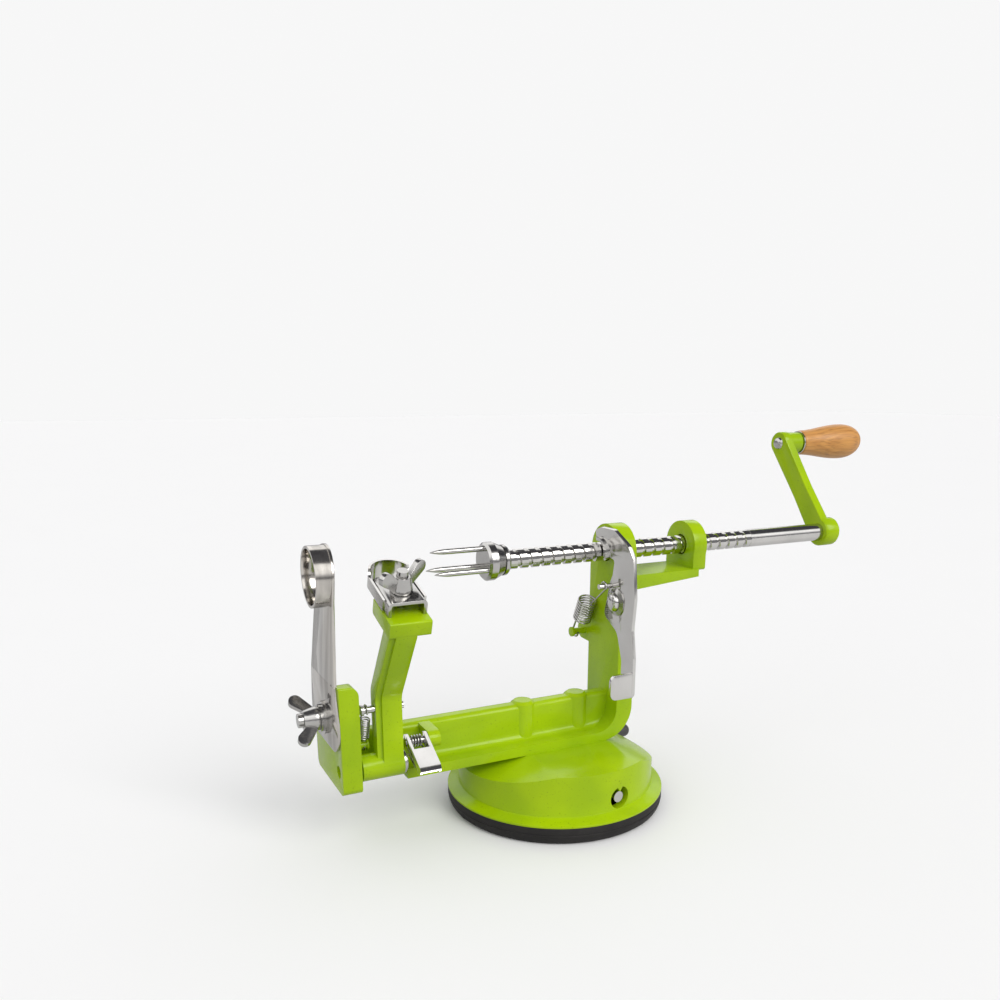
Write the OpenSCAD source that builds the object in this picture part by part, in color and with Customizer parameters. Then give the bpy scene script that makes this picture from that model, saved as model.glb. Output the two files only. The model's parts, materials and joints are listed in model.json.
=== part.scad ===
// Hand-cranked apple peeler, corer and slicer on a suction base
// X runs along the worm shaft towards the crank, Z is up
// The origin is the centre of the rubber foot's underside

/* [Base] */
// Radius of the rubber foot and of the housing's flange
foot_r = 50; // [49:0.5:56]
// Height of the rubber foot
foot_h = 8; // [7:0.5:10]
// Radius of the housing's drum
drum_r = 45; // [44:0.5:47]
// Height of the housing, foot to flat top
drum_h = 21; // [21:0.5:26]
// Half length of the flat top that carries the casting
flat_half = 21; // [20:0.5:24]
// Fall of the housing's top towards the crank
fall_crank = 24; // [16:1:25]
// Fall of the housing's top towards the slicer
fall_slicer = 16; // [10:1:20]
// Wall of the housing's drum
base_wall = 4; // [3:0.5:5]

/* [Suction lever] */
// Height of the cam's axis above the foot
cam_rise = 8; // [8:0.1:8.6]
// Radius of the cam's rod
cam_rod_r = 2.5; // [2:0.1:2.5]
// Throw of the cam
cam_throw = 2.4; // [2:0.1:2.4]
// Radius of the cam
cam_r = 5; // [5:0.1:5.2]
// Turn of the cam's axis against the bed
cam_turn = 10; // [4:1:14]
// Reach of the suction lever
lever_len = 60; // [56:1:70]
// Distance of the lever's plane from the centre
lever_side = 17; // [16.5:0.5:20]
// Radius of the suction lever's rod
lever_rod_r = 2.5; // [2:0.1:2.8]
// Radius of the lever's grip
grip_r = 3.4; // [3.2:0.1:4]
// Length of the lever's grip
grip_len = 16; // [12:1:17]

/* [Casting] */
// Height of the shaft's axis above the housing
shaft_h = 86; // [82:0.5:94]
// Half width of the bed's flange and the rear post
flange_half = 13; // [12:0.5:14]
// Thickness of the bed's flange
flange_t = 4.3; // [4:0.1:6]
// Thickness of the bed's web
web_t = 8; // [7:0.5:9]
// Height of the web's top above the housing
web_h = 20.5; // [19.5:0.5:23]
// Place of the rear post's front face
post_x = 25; // [24:0.5:28]
// Thickness of the rear post
post_t = 8.3; // [7:0.1:10]
// Clear length of the bed between the posts
bed_len = 123.2; // [118:0.2:130]
// Thickness of the front post
front_t = 8; // [7:0.5:10]
// Half width of the front post
front_half = 19.6; // [19.6:0.2:23]
// Height of the front post
front_h = 45.4; // [44:0.2:50]
// Fall of the front post's top towards its far side
post_fall = 14; // [10:0.5:15]
// Gap between the rear post and the rear eye
eye_gap = 32.7; // [28:0.1:36]
// Thickness of the rear eye
eye_t = 7; // [6:0.5:9]
// Outer radius of the bed's bend
corner_r = 15; // [12:0.5:16]

/* [Worm shaft] */
// Radius of the shaft
shaft_r = 4.25; // [4.1:0.05:4.5]
// Pitch of the feed groove
pitch = 5.3; // [5:0.1:6]
// Depth of the feed groove
groove_d = 0.85; // [0.75:0.05:0.95]
// Width of the feed groove at the crest
groove_w = 2; // [1.9:0.1:2.4]
// Turns of the feed groove
thread_turns = 24; // [22:1:25]
// Length of the whole shaft
shaft_len = 194.5; // [192:0.5:212]
// Reach of the fork's tines beyond the hub
tine_len = 24; // [20:1:26]
// Radius of the circle that the tines stand on
tine_pcd = 5.6; // [5:0.1:6]

/* [Crank] */
// Throw of the crank
crank_r = 54; // [50:1:60]
// Rest angle of the crank, from +Y towards +Z
crank_rest = 51.9; // [0:0.1:90]
// Thickness of the crank's arm
crank_t = 4.5; // [4:0.5:6]
// Reach of the pin's boss beyond the arm
boss_out = 8.3; // [7.5:0.1:9.5]
// Length of the wooden knob
knob_len = 42.5; // [38:0.5:48]
// Largest radius of the knob
knob_r = 9.1; // [8.5:0.1:11]
// Radius of the knob's neck
knob_neck = 6.3; // [5.8:0.1:7]

/* [Release lever] */
// Thickness of the lever's plate
plate_t = 1.5; // [1.2:0.1:1.8]
// Radius of the lever's rivet
rivet_r = 2.6; // [2.2:0.1:3]
// Reach of the thumb tab
tab_len = 11; // [8:0.5:12]
// Height of the rivet's axis below the shaft
rivet_drop = 20.9; // [20:0.1:22]

/* [Peeling arm] */
// Width of the arm's stem
stem_w = 10.5; // [9:0.5:11]
// Thickness of the arm's stem
stem_t = 7.5; // [6.5:0.5:8]
// Height of the stem's upright part above the pivot
stem_up = 30; // [27:0.5:32]
// Radius of the arm's pivot pin
pivot_r = 2.6; // [2.2:0.1:3]
// Tilt of the blade's pad
pad_tilt = 18; // [14:1:22]
// Thickness of the pad
pad_t = 6.5; // [5.5:0.5:7]
// Length of the pad
pad_len = 20; // [19:0.5:22]
// Sheet of the bracket
bracket_t = 1.4; // [1.1:0.1:1.6]
// Reach of the peeling blade's loop beyond the bracket
loop_reach = 9.6; // [9.2:0.1:10]
// Width of the peeling blade's strip
strip_w = 7.6; // [7:0.1:8]
// Thickness of the peeling blade's strip
strip_t = 0.9; // [0.7:0.1:1.1]

/* [Latch] */
// Radius of the latch's pin
latch_pin_r = 1.6; // [1.4:0.1:1.7]
// Clear width between the latch's cheeks
latch_w = 7; // [7:0.1:7.3]
// Sheet of the latch
latch_t = 1; // [0.8:0.1:1.2]

/* [Slicer] */
// Thickness of the slicer's plate
slice_t = 1.1; // [0.9:0.1:1.4]
// Outer radius of the coring ring
ring_r = 12.2; // [11.4:0.1:12.6]
// Wall of the coring ring
ring_wall = 1.1; // [0.9:0.1:1.4]
// Length of the coring ring
ring_len = 7; // [6:0.5:8]
// Radius of the slicer's bolt
bolt_r = 2.9; // [2.5:0.1:3.1]
// Height of the slicer's bolt above the housing
bolt_h = 28; // [27:0.5:30]
// Span of a wing nut from its axis to its wing's tip
wing_reach = 11.6; // [10:0.2:12]

/* [Springs] */
// Wire of the release lever's spring
lever_wire = 0.9; // [0.8:0.05:0.95]
// Mean radius of the release lever's spring
lever_coil_r = 4; // [3.6:0.1:4.3]
// Coils of the release lever's spring
lever_coils = 8; // [7:1:9]
// Wire of the arm's spring
arm_wire = 0.65; // [0.55:0.05:0.7]
// Mean radius of the arm's spring
arm_coil_r = 1.85; // [1.7:0.05:2]
// Coils of the arm's spring
arm_coils = 9; // [7:1:9]
// Wire of the latch's spring
latch_wire = 0.7; // [0.6:0.05:0.75]
// Coils of the latch's spring
latch_coils = 4; // [3:1:4]

/* [Clearances] */
// Radial clearance of a running fit
run_gap = 0.08; // [0.06:0.01:0.1]
// Radial clearance of pieces that stay put
fit_gap = 0.04; // [0.03:0.01:0.06]
// Clearance between neighbours that move past each other
free_gap = 0.3; // [0.25:0.05:0.4]
// Clear space between two coils of a spring
coil_gap = 0.5; // [0.45:0.05:0.6]
// Radial clearance of the shaft in the rear post
bore_gap = 0.35; // [0.3:0.05:0.5]

/* [Hidden] */
$fn = 64;
eps = 0.01;
paint = [0.62, 0.77, 0.08];
steel = [0.80, 0.81, 0.83];
chrome = [0.88, 0.89, 0.91];
rubber = [0.14, 0.13, 0.13];
black = [0.25, 0.24, 0.25];
timber = [0.76, 0.52, 0.29];

// Heights
deck = foot_h + drum_h;
axis_z = deck + shaft_h;
cam_z = foot_h + cam_rise;
bed_top = deck + flange_t;
web_top = deck + web_h;

// Places along the shaft
front_x = post_x - bed_len;
face_x = front_x - front_t;
eye_x = post_x + post_t + eye_gap;
plate_x = post_x - 0.2 - plate_t;
tongue_x = plate_x - 1.5;
shaft_x = -34;
thread_x = tongue_x - groove_w / 2 - pitch * 8.5;
boss_l = 9;
crank_x = shaft_x + shaft_len - boss_l;
fork_l = 8;

// Base
rim_t = 0.8;
rim_rise = 2;
cavity_h = 6.5;
box_half = [14, 38];
box_h = drum_h - 4.8;
rib_y = [30, 36];
seat_h = drum_h - 2.5;
screw_x = [-17, 10.5];
screw_r = 1.9;
screw_head = [3.2, 2.2];
screw_len = 16;
cup_well = 17;
cup_floor = 4;
lift = cam_throw * (1 - cos(80));
window_half = 8;
window_top = cam_z - cam_throw + cam_r + free_gap;
window_low = cam_z - cam_throw - cam_r - free_gap - 0.45;
stirrup_wall = 2.4;

// Casting
dome_r = flange_half - 0.8;
boss_r = 5.4;
bend_in = corner_r - 5;
lug_c = [19, axis_z - 41];
peg_c = [17, axis_z - 41];
rivet_c = [-12.4, axis_z - rivet_drop];
ear_r = 4.4;
ear_t = 4;
arm_half = flange_half - 1.5;
step_x = front_x + 21.2;

// Peeling arm and latch, all from the front post
pivot_c = [-14, deck + 9];
stem_x = front_x + 7.2;
arm_boss = [front_x + 0.7, stem_x + stem_w + 0.5];
arm_r = 5.5;
arm_front = -19;
pad_c = [-39, axis_z - 18];
pad_x = [stem_x - 0.4, stem_x + 16];
cross_c = [arm_front + 3.5, pivot_c[1] + 25];
cross_r = 1.5;
spring_x = front_x + 3.7;
nub_c = [-9.5, web_top - 3.5];
nub_r = 1.5;
bracket_x = [pad_x[0] + 0.7, pad_x[1] - 0.5];
bracket_h = 6;
latch_c = [-13, web_top - 4.2];
cheek_x = front_x + 20.7;
latch_lug_x = cheek_x + latch_w + 2 * latch_t + free_gap;

// Slicer
slice_bend = 4;
bend_z = deck + front_h - 0.4;
washer_t = [1.2, 1.3];
nut_x = face_x - slice_t - washer_t[0] - washer_t[1];

function unit(v) = v / norm(v);
function wrap(a) = a > 180 ? a - 360 : a < -180 ? a + 360 : a;
function arc(c, r, a0, a1, n) =
    [for (i = [0 : n]) c + r * [cos(a0 + (a1 - a0) * i / n), sin(a0 + (a1 - a0) * i / n)]];
// One corner of an outline, rounded to radius r
function corner(a, p, b, r, n) = r <= 0 ? [p] :
    let (u = unit(a - p), v = unit(b - p), h = acos(u * v) / 2)
    let (c = p + unit(u + v) * r / sin(h), s = p + u * r / tan(h) - c, e = p + v * r / tan(h) - c)
    let (a0 = atan2(s[1], s[0]), da = wrap(atan2(e[1], e[0]) - a0))
    arc(c, r, a0, a0 + da, n);
// An outline of corner points, each with its own radius
function rounded(p, n = 6) = let (m = len(p)) [for (i = [0 : m - 1]) each corner(
    [p[(i + m - 1) % m][0], p[(i + m - 1) % m][1]], [p[i][0], p[i][1]],
    [p[(i + 1) % m][0], p[(i + 1) % m][1]], p[i][2], n)];
// A wire's direction at each of its points
function tangents(p) = let (n = len(p)) [for (i = [0 : n - 1]) unit(p[min(i + 1, n - 1)] - p[max(i - 1, 0)])];
function square_to(v, t) = unit(v - (v * t) * t);
function carried(t, start) = [for (i = 0, v = square_to(start, t[0]); i < len(t);
    i = i + 1, v = square_to(v, t[min(i, len(t) - 1)])) v];
// Least clear gap of a wire to itself
function self_gap(p, d) = min([for (i = [0 : len(p) - 6], j = [i + 5 : len(p) - 1]) norm(p[i] - p[j])]) - d;

// Solid of revolution or rod along X, and plates that stand on X or on Y
module rod_x(x0, x1, r, c = [0, 0]) {
    translate([x0, c[0], c[1]]) rotate([0, 90, 0]) cylinder(r = r, h = x1 - x0);
}
module turned_x(x0, c = [0, 0]) {
    translate([x0, c[0], c[1]]) rotate([0, 90, 0]) rotate_extrude() children();
}
module slab_x(x0, t) {
    translate([x0, 0, 0]) rotate([90, 0, 90]) linear_extrude(t) children();
}
module slab_y(y0, t) {
    translate([0, y0 + t, 0]) rotate([90, 0, 0]) linear_extrude(t) children();
}
// Two circles joined by their outer tangents
module link(p, q, rp, rq) {
    d = norm(q - p);
    a = atan2(q[1] - p[1], q[0] - p[0]);
    b = acos((rp - rq) / d);
    polygon([p + rp * [cos(a + b), sin(a + b)], q + rq * [cos(a + b), sin(a + b)],
        q + rq * [cos(a - b), sin(a - b)], p + rp * [cos(a - b), sin(a - b)]]);
    translate(p) circle(rp);
    translate(q) circle(rq);
}
// Round wire of six sides along a path
module wire(p, d, start) {
    n = len(p);
    t = tangents(p);
    v = carried(t, start);
    pts = [for (i = [0 : n - 1], k = [0 : 5])
        p[i] + d / 2 * (cos(60 * k) * v[i] + sin(60 * k) * cross(t[i], v[i]))];
    sides = [for (i = [0 : n - 2], k = [0 : 5]) let (a = 6 * i + k, b = 6 * i + (k + 1) % 6)
        each [[a, a + 6, b + 6], [a, b + 6, b]]];
    ends = [for (k = [1 : 4]) each [[0, k, k + 1], [6 * n - 6, 6 * n - 5 + k, 6 * n - 6 + k]]];
    polyhedron(points = pts, faces = concat(sides, ends));
}

// Drum of the base: flange, sloped top, hollow inside, cam hole, lever slot and screw seats
module base_housing() color(paint) difference() {
    rotate_extrude() polygon([[0, foot_h], [foot_r, foot_h], [foot_r, foot_h + rim_t],
        [drum_r + 1, foot_h + rim_t + rim_rise - 0.6], [drum_r, foot_h + rim_t + rim_rise],
        [drum_r, deck], [0, deck]]);
    top_slope(fall_crank);
    mirror([1, 0, 0]) top_slope(fall_slicer);
    translate([0, 0, foot_h - eps]) cylinder(r = drum_r - base_wall, h = cavity_h + eps);
    rotate([0, 0, cam_turn]) {
        difference() {
            translate([-box_half[0], -box_half[1], foot_h]) cube([2 * box_half[0], 2 * box_half[1], box_h]);
            for (s = [-1, 1]) translate([-box_half[0] - 1, s > 0 ? rib_y[0] : -rib_y[1], foot_h + 1])
                cube([2 * box_half[0] + 2, rib_y[1] - rib_y[0], box_h]);
        }
        translate([0, rib_y[1] + 1, cam_z]) rotate([90, 0, 0])
            cylinder(r = cam_rod_r + run_gap, h = 2 * rib_y[1] + 2);
        slab_y(-foot_r, foot_r - rib_y[1] - 1) translate([0, cam_z]) difference() {
            circle(cam_rod_r + 2.5);
            polygon([[-1.8, cam_rod_r + 3], [1.8, cam_rod_r + 3], [0, cam_rod_r + free_gap]]);
        }
        translate([-1.6, lever_side - lever_rod_r - 1.5, cam_z - 5])
            cube([foot_r + 5, 2 * lever_rod_r + 3, deck - cam_z + 6]);
    }
    for (x = screw_x) translate([x, 0, foot_h]) {
        cylinder(r = screw_head[0] + 0.4, h = seat_h);
        cylinder(r = screw_r + fit_gap, h = drum_h + 1);
    }
}
module top_slope(a) {
    translate([flat_half, 0, deck]) rotate([0, a, 0])
        translate([0, -foot_r, 0]) cube([2 * foot_r, 2 * foot_r, drum_h]);
}

// Two pan-head screws that hold the casting down
module base_screws() color(steel) for (x = screw_x) translate([x, 0, foot_h + seat_h]) {
    difference() {
        translate([0, 0, -screw_head[1]]) cylinder(r = screw_head[0], h = screw_head[1]);
        for (a = [0, 90]) rotate([0, 0, a]) translate([-2, -0.4, -screw_head[1] - eps]) cube([4, 0.8, 1.2]);
    }
    cylinder(r = screw_r, h = screw_len);
}

// Rubber foot, flat where it is sucked down, with a well for the stem's plate
module suction_cup() color(rubber) difference() {
    rotate_extrude() polygon([[0, 0], [foot_r - 3, 0], [foot_r - 0.6, foot_h * 0.3], [foot_r, foot_h * 0.5],
        [foot_r, foot_h], [0, foot_h]]);
    translate([0, 0, cup_floor]) cylinder(r = cup_well, h = foot_h);
    difference() {
        translate([0, 0, foot_h - 1.6]) cylinder(r = foot_r - 8, h = 2);
        translate([0, 0, foot_h - 3]) cylinder(r = cup_well + 4, h = 6);
    }
}

// Plate and stirrup that the cam lifts to pull the cup's middle up
module cup_stem() color(steel) rotate([0, 0, cam_turn]) {
    translate([0, 0, cup_floor + free_gap]) cylinder(r = cup_well - 2, h = window_low - cup_floor - free_gap);
    difference() {
        translate([-window_half - 3, -4, window_low - 1])
            cube([2 * window_half + 6, 8, window_top - window_low + 1 + stirrup_wall]);
        translate([-window_half, -5, window_low]) cube([2 * window_half, 10, window_top - window_low]);
    }
}

// Rod across the drum with the cam that works in the stirrup
module cam_shaft() color(chrome) rotate([0, 0, cam_turn]) {
    translate([0, rib_y[1] + 0.5, cam_z]) rotate([90, 0, 0])
        cylinder(r = cam_rod_r, h = drum_r - 1 + rib_y[1] + 0.5);
    translate([0, 3.6, cam_z - cam_throw]) rotate([90, 0, 0]) cylinder(r = cam_r, h = 7.2);
}

// Lever on the cam's rod, out through the slot, and its grip
module suction_lever() color(chrome) rotate([0, 0, cam_turn]) translate([0, lever_side, cam_z]) difference() {
    union() {
        rotate([90, 0, 0]) translate([0, 0, -4]) cylinder(r = cam_rod_r + 2.5, h = 8);
        rotate([0, 92, 0]) cylinder(r = lever_rod_r, h = lever_len);
    }
    rotate([90, 0, 0]) translate([0, 0, -5]) cylinder(r = cam_rod_r + fit_gap, h = 10);
}
module lever_grip() color(black) rotate([0, 0, cam_turn]) translate([0, lever_side, cam_z]) rotate([0, 92, 0])
    rotate_extrude() difference() {
        polygon([[0, lever_len - grip_len], [grip_r - 0.6, lever_len - grip_len],
            [grip_r, lever_len - grip_len + 1.5], [grip_r, lever_len], [grip_r - 0.9, lever_len + 1.8],
            [grip_r - 2.2, lever_len + 2.6], [0, lever_len + 2.8]]);
        translate([-1, lever_len - grip_len - 1]) square([lever_rod_r + fit_gap + 1, grip_len + 1]);
    }

// Side view of the bed's flange with its bend into the rear post
module bed_side() difference() {
    union() {
        translate([front_x, deck]) square([post_x + post_t - front_x, flange_t]);
        translate([post_x, deck]) square([post_t, 2 * corner_r]);
        translate([post_x - bend_in, bed_top]) difference() {
            square([bend_in + 1, bend_in]);
            translate([0, bend_in]) circle(bend_in);
        }
    }
    translate([post_x + post_t - corner_r, deck]) difference() {
        translate([0, -1]) square([corner_r + 1, corner_r + 1]);
        translate([0, corner_r]) circle(corner_r);
    }
}

// Section of the web, rounded on top and filleted into the flange
module web_section() {
    translate([-web_t / 2, bed_top - 1]) square([web_t, web_h - flange_t + 1 - 2.5]);
    translate([2.5 - web_t / 2, bed_top]) square([web_t - 5, web_h - flange_t]);
    for (s = [-1, 1]) {
        translate([s * (web_t / 2 - 2.5), web_top - 2.5]) circle(2.5);
        translate([s * web_t / 2, bed_top]) mirror([s < 0 ? 1 : 0, 0]) difference() {
            translate([-1, -1]) square([4.5, 4.5]);
            translate([3.5, 3.5]) circle(3.5);
        }
    }
}

// Rear post as seen along the shaft, with the spring's lug
module post_face() {
    translate([-flange_half, deck + corner_r]) square([2 * flange_half, shaft_h - corner_r - 8]);
    polygon([[-flange_half, axis_z - 9], [flange_half, axis_z - 9], [dome_r, axis_z], [-dome_r, axis_z]]);
    translate([0, axis_z]) circle(dome_r);
    link(lug_c, lug_c - [8, 0], 4.3, 4.6);
}

// The one casting: bed, web, front post, rear post, rear arm and eye
module frame_casting() color(paint) difference() {
    union() {
        difference() {
            slab_y(-flange_half, 2 * flange_half) bed_side();
            translate([front_x + eps, -flange_half - 1, deck - 1])
                cube([step_x - front_x, flange_half - 6, flange_t + 2]);
        }
        slab_x(front_x - 1, post_x - front_x + 2) web_section();
        for (x = screw_x) translate([x, 0, deck + 1]) rotate_extrude()
            polygon([[0, 0], [boss_r, 0], [boss_r, web_h - 1.2], [boss_r - 1.4, web_h], [0, web_h]]);
        slab_x(post_x, post_t) post_face();
        slab_x(post_x, ear_t) link(rivet_c, rivet_c + [6, 0], ear_r, ear_r + 0.01);
        rod_x(post_x - 7.5, post_x + 1, 1.6, peg_c);
        rod_x(post_x - 7.5, post_x - 6.5, 2.3, peg_c);
        slab_y(-arm_half, 2 * arm_half) polygon([[post_x + post_t - 1, axis_z - 16.7],
            [eye_x + eye_t * 0.4, axis_z - 13.6], [eye_x + eye_t * 0.4, axis_z - 10],
            [post_x + post_t - 1, axis_z - 10]]);
        slab_x(eye_x, eye_t) {
            translate([0, axis_z]) circle(dome_r - 1.2);
            polygon(rounded([[1.7 - dome_r, axis_z + 0.5, 0], [1.7 - dome_r, axis_z - 11, 1.5],
                [dome_r - 1.7, axis_z - 11, 1.5], [dome_r - 1.7, axis_z + 0.5, 0]]));
        }
        slab_x(face_x, front_t) polygon(rounded([[-front_half, deck, 3], [front_half, deck, 3],
            [front_half, deck + front_h - post_fall, 5], [6 - front_half, deck + front_h, 5],
            [-front_half, deck + front_h, 0.8]]));
        slab_x(latch_lug_x, 5)
            link(latch_c, [-web_t / 2 + 1, latch_c[1]], latch_pin_r + 2, latch_pin_r + 2.2);
        rod_x(front_x - 1, spring_x + 2, nub_r, nub_c);
        rod_x(spring_x + 1.2, spring_x + 2, nub_r + 0.7, nub_c);
    }
    rod_x(post_x - 1, post_x + post_t + 1, shaft_r + bore_gap, [0, axis_z]);
    rod_x(eye_x - 1, eye_x + eye_t + 1, shaft_r + bore_gap + 0.2, [0, axis_z]);
    rod_x(post_x - 1, post_x + ear_t + 1, rivet_r + fit_gap, rivet_c);
    for (x = screw_x) translate([x, 0, deck - 1])
        cylinder(r = screw_r + fit_gap, h = screw_len - drum_h + seat_h + 1.5);
    rod_x(face_x - 1, front_x + 1, pivot_r + fit_gap, pivot_c);
    rod_x(face_x - 1, front_x + 1, bolt_r + fit_gap, [0, deck + bolt_h]);
    rod_x(latch_lug_x - 1, latch_lug_x + 4, latch_pin_r + fit_gap, latch_c);
    slab_y(-foot_r, 2 * foot_r) translate([front_x, deck + front_h]) difference() {
        translate([-4, -4]) square([5, 5]);
        translate([-4, -4]) circle(4);
    }
}

// Feed groove as one closed form: four strands wound along the shaft, blunt at both ends
module worm(n = 20) {
    m = n * thread_turns;
    slant = 0.4;
    u = [0, slant, groove_w - slant, groove_w];
    r = [shaft_r, shaft_r - groove_d, shaft_r - groove_d, shaft_r];
    x0 = thread_x - 0.8;
    x1 = thread_x + pitch * thread_turns + groove_w + 0.8;
    rings = [for (x = [x0, x1], j = [0 : n - 1]) [x, shaft_r * cos(360 * j / n), shaft_r * sin(360 * j / n)]];
    pts = concat([for (i = [0 : m], k = [0 : 3]) [thread_x + pitch * i / n + u[k],
        r[k] * cos(360 * i / n), r[k] * sin(360 * i / n)]], rings, [[x0, 0, 0], [x1, 0, 0]]);
    a = 4 * m + 4;
    b = a + n;
    c = b + n;
    function quad(p, q, s, t) = [[p, t, s], [p, s, q]];
    groove = [for (i = [0 : m - 1], k = [0 : 2])
        each quad(4 * i + k, 4 * i + 4 + k, 4 * i + 5 + k, 4 * i + 1 + k)];
    land = [for (i = [0 : m - n - 1]) each quad(4 * i + 3, 4 * i + 7, 4 * (i + 1 + n), 4 * (i + n))];
    lead = [for (j = [0 : n - 2]) each quad(a + j, a + j + 1, 4 * j + 4, 4 * j)];
    lead_end = [[a + n - 1, 4 * n - 4, 4 * n], [a + n - 1, 4 * n, 3], [a + n - 1, 3, 0], [a + n - 1, 0, a]];
    tail = [for (j = [1 : n - 1]) let (i = m - n + j)
        each quad(4 * i + 3, 4 * i + 7, b + (j + 1) % n, b + j)];
    e = 4 * (m - n);
    tail_end = [[b + 1, e + 7, e + 3], [b + 1, e + 3, 4 * m], [b + 1, 4 * m, 4 * m + 3],
        [b + 1, 4 * m + 3, b]];
    walls = [[3, 2, 1], [3, 1, 0], [4 * m, 4 * m + 1, 4 * m + 2], [4 * m, 4 * m + 2, 4 * m + 3]];
    caps = [for (j = [0 : n - 1]) each [[c, a + j, a + (j + 1) % n], [c + 1, b + (j + 1) % n, b + j]]];
    polyhedron(points = pts, faces = concat(groove, land, lead, lead_end, tail, tail_end, walls, caps));
}

// Shaft: plain at both ends, with the feed groove between
plain_r = shaft_r + 0.02;
module worm_shaft() color(chrome) {
    translate([0, 0, axis_z]) worm();
    rod_x(shaft_x, thread_x - 0.4, plain_r, [0, axis_z]);
    turned_x(thread_x + pitch * thread_turns + groove_w + 0.4, [0, axis_z]) {
        l = shaft_x + shaft_len - thread_x - pitch * thread_turns - groove_w - 0.4;
        polygon([[0, 0], [plain_r, 0], [plain_r, l - 0.8], [plain_r - 0.8, l], [0, l]]);
    }
}

// Loose collar behind the fork, fork hub on the shaft's end, and its three tines
hub_x = shaft_x - 2;
collar_x = hub_x + fork_l + free_gap;
module fork_collar() color(steel) turned_x(collar_x, [0, axis_z])
    polygon([[plain_r + run_gap, 0], [6.6, 0], [6.6, 1.4], [6, 2.2], [plain_r + run_gap, 2.2]]);
module fork_hub() color(steel) difference() {
    turned_x(hub_x, [0, axis_z]) polygon([[0, 0], [7.2, 0], [8.2, 1], [8.2, 4], [6.4, fork_l], [0, fork_l]]);
    rod_x(shaft_x, hub_x + fork_l + 1, plain_r + fit_gap, [0, axis_z]);
    for (k = [0 : 2]) rod_x(hub_x - 1, hub_x + 1.6, tine_r + fit_gap, tine_at(k));
}
tine_r = 1.2;
function tine_at(k) = [0, axis_z] + tine_pcd * [cos(90 + 120 * k), sin(90 + 120 * k)];
module fork_tines() color(steel) for (k = [0 : 2]) turned_x(hub_x + 1.6, tine_at(k)) mirror([0, 1])
    polygon([[0, 0], [tine_r, 0], [tine_r, tine_len - 5], [tine_r * 0.8, tine_len - 2.5],
        [0.25, tine_len + 1.6], [0, tine_len + 1.6]]);

// Crank arm with its boss on the shaft and a longer boss for the knob's pin
knob_c = [0, axis_z] + crank_r * [cos(crank_rest), sin(crank_rest)];
crank_boss_r = 7;
pin_boss = crank_t + boss_out;
pin_r = 2.3;
knob_x = crank_x + pin_boss + 0.6 + 0.1;
module crank_arm() color(paint) difference() {
    union() {
        turned_x(crank_x, [0, axis_z]) polygon([[0, 0], [crank_boss_r - 0.6, 0], [crank_boss_r, 0.8],
            [crank_boss_r, boss_l - 1], [crank_boss_r - 0.8, boss_l], [0, boss_l]]);
        slab_x(crank_x, crank_t) {
            link([0, axis_z], [0, axis_z] + (knob_c - [0, axis_z]) * 0.45, 5.6, 4.8);
            link(knob_c, [0, axis_z] + (knob_c - [0, axis_z]) * 0.45, 5.4, 4.8);
        }
        turned_x(crank_x, knob_c) polygon([[0, 0], [5.4, 0], [5.8, 0.6], [5.8, crank_t],
            [5.6, crank_t + 0.8],
            [5.4, pin_boss - 0.5], [4.9, pin_boss], [0, pin_boss]]);
    }
    rod_x(crank_x - 1, crank_x + boss_l + 1, plain_r + fit_gap, [0, axis_z]);
    rod_x(crank_x - 1, crank_x + pin_boss + 1, pin_r + fit_gap, knob_c);
}
module knob_pin() color(steel) turned_x(crank_x, knob_c)
    polygon([[0, -1.6], [1.4, -1.5], [2.6, -0.9], [3.1, 0], [pin_r, 0], [pin_r, pin_boss + knob_len - 6],
        [pin_r - 0.6, pin_boss + knob_len - 5.4], [0, pin_boss + knob_len - 5.4]]);
module knob_washer() color(steel) turned_x(crank_x + pin_boss, knob_c)
    polygon([[pin_r + fit_gap, 0], [6, 0], [6, 0.6], [pin_r + fit_gap, 0.6]]);

// Turned knob: a neck that swells to a round end
function knob_rad(t) = t < 0.66 ? knob_neck + (knob_r - knob_neck) * (1 - cos(180 * t / 0.66)) / 2
    : knob_r * sqrt(1 - pow((t - 0.66) / 0.34, 2.4));
module knob() color(timber) difference() {
    turned_x(knob_x, knob_c) polygon(concat([[0, 0], [knob_neck - 0.7, 0]],
        [for (i = [1 : 1 : 29]) [knob_rad(i / 30), knob_len * i / 30]],
        [[knob_rad(0.99), knob_len * 0.99], [0, knob_len]]));
    rod_x(knob_x - 1, crank_x + pin_boss + knob_len - 5, pin_r + run_gap, knob_c);
}

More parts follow.
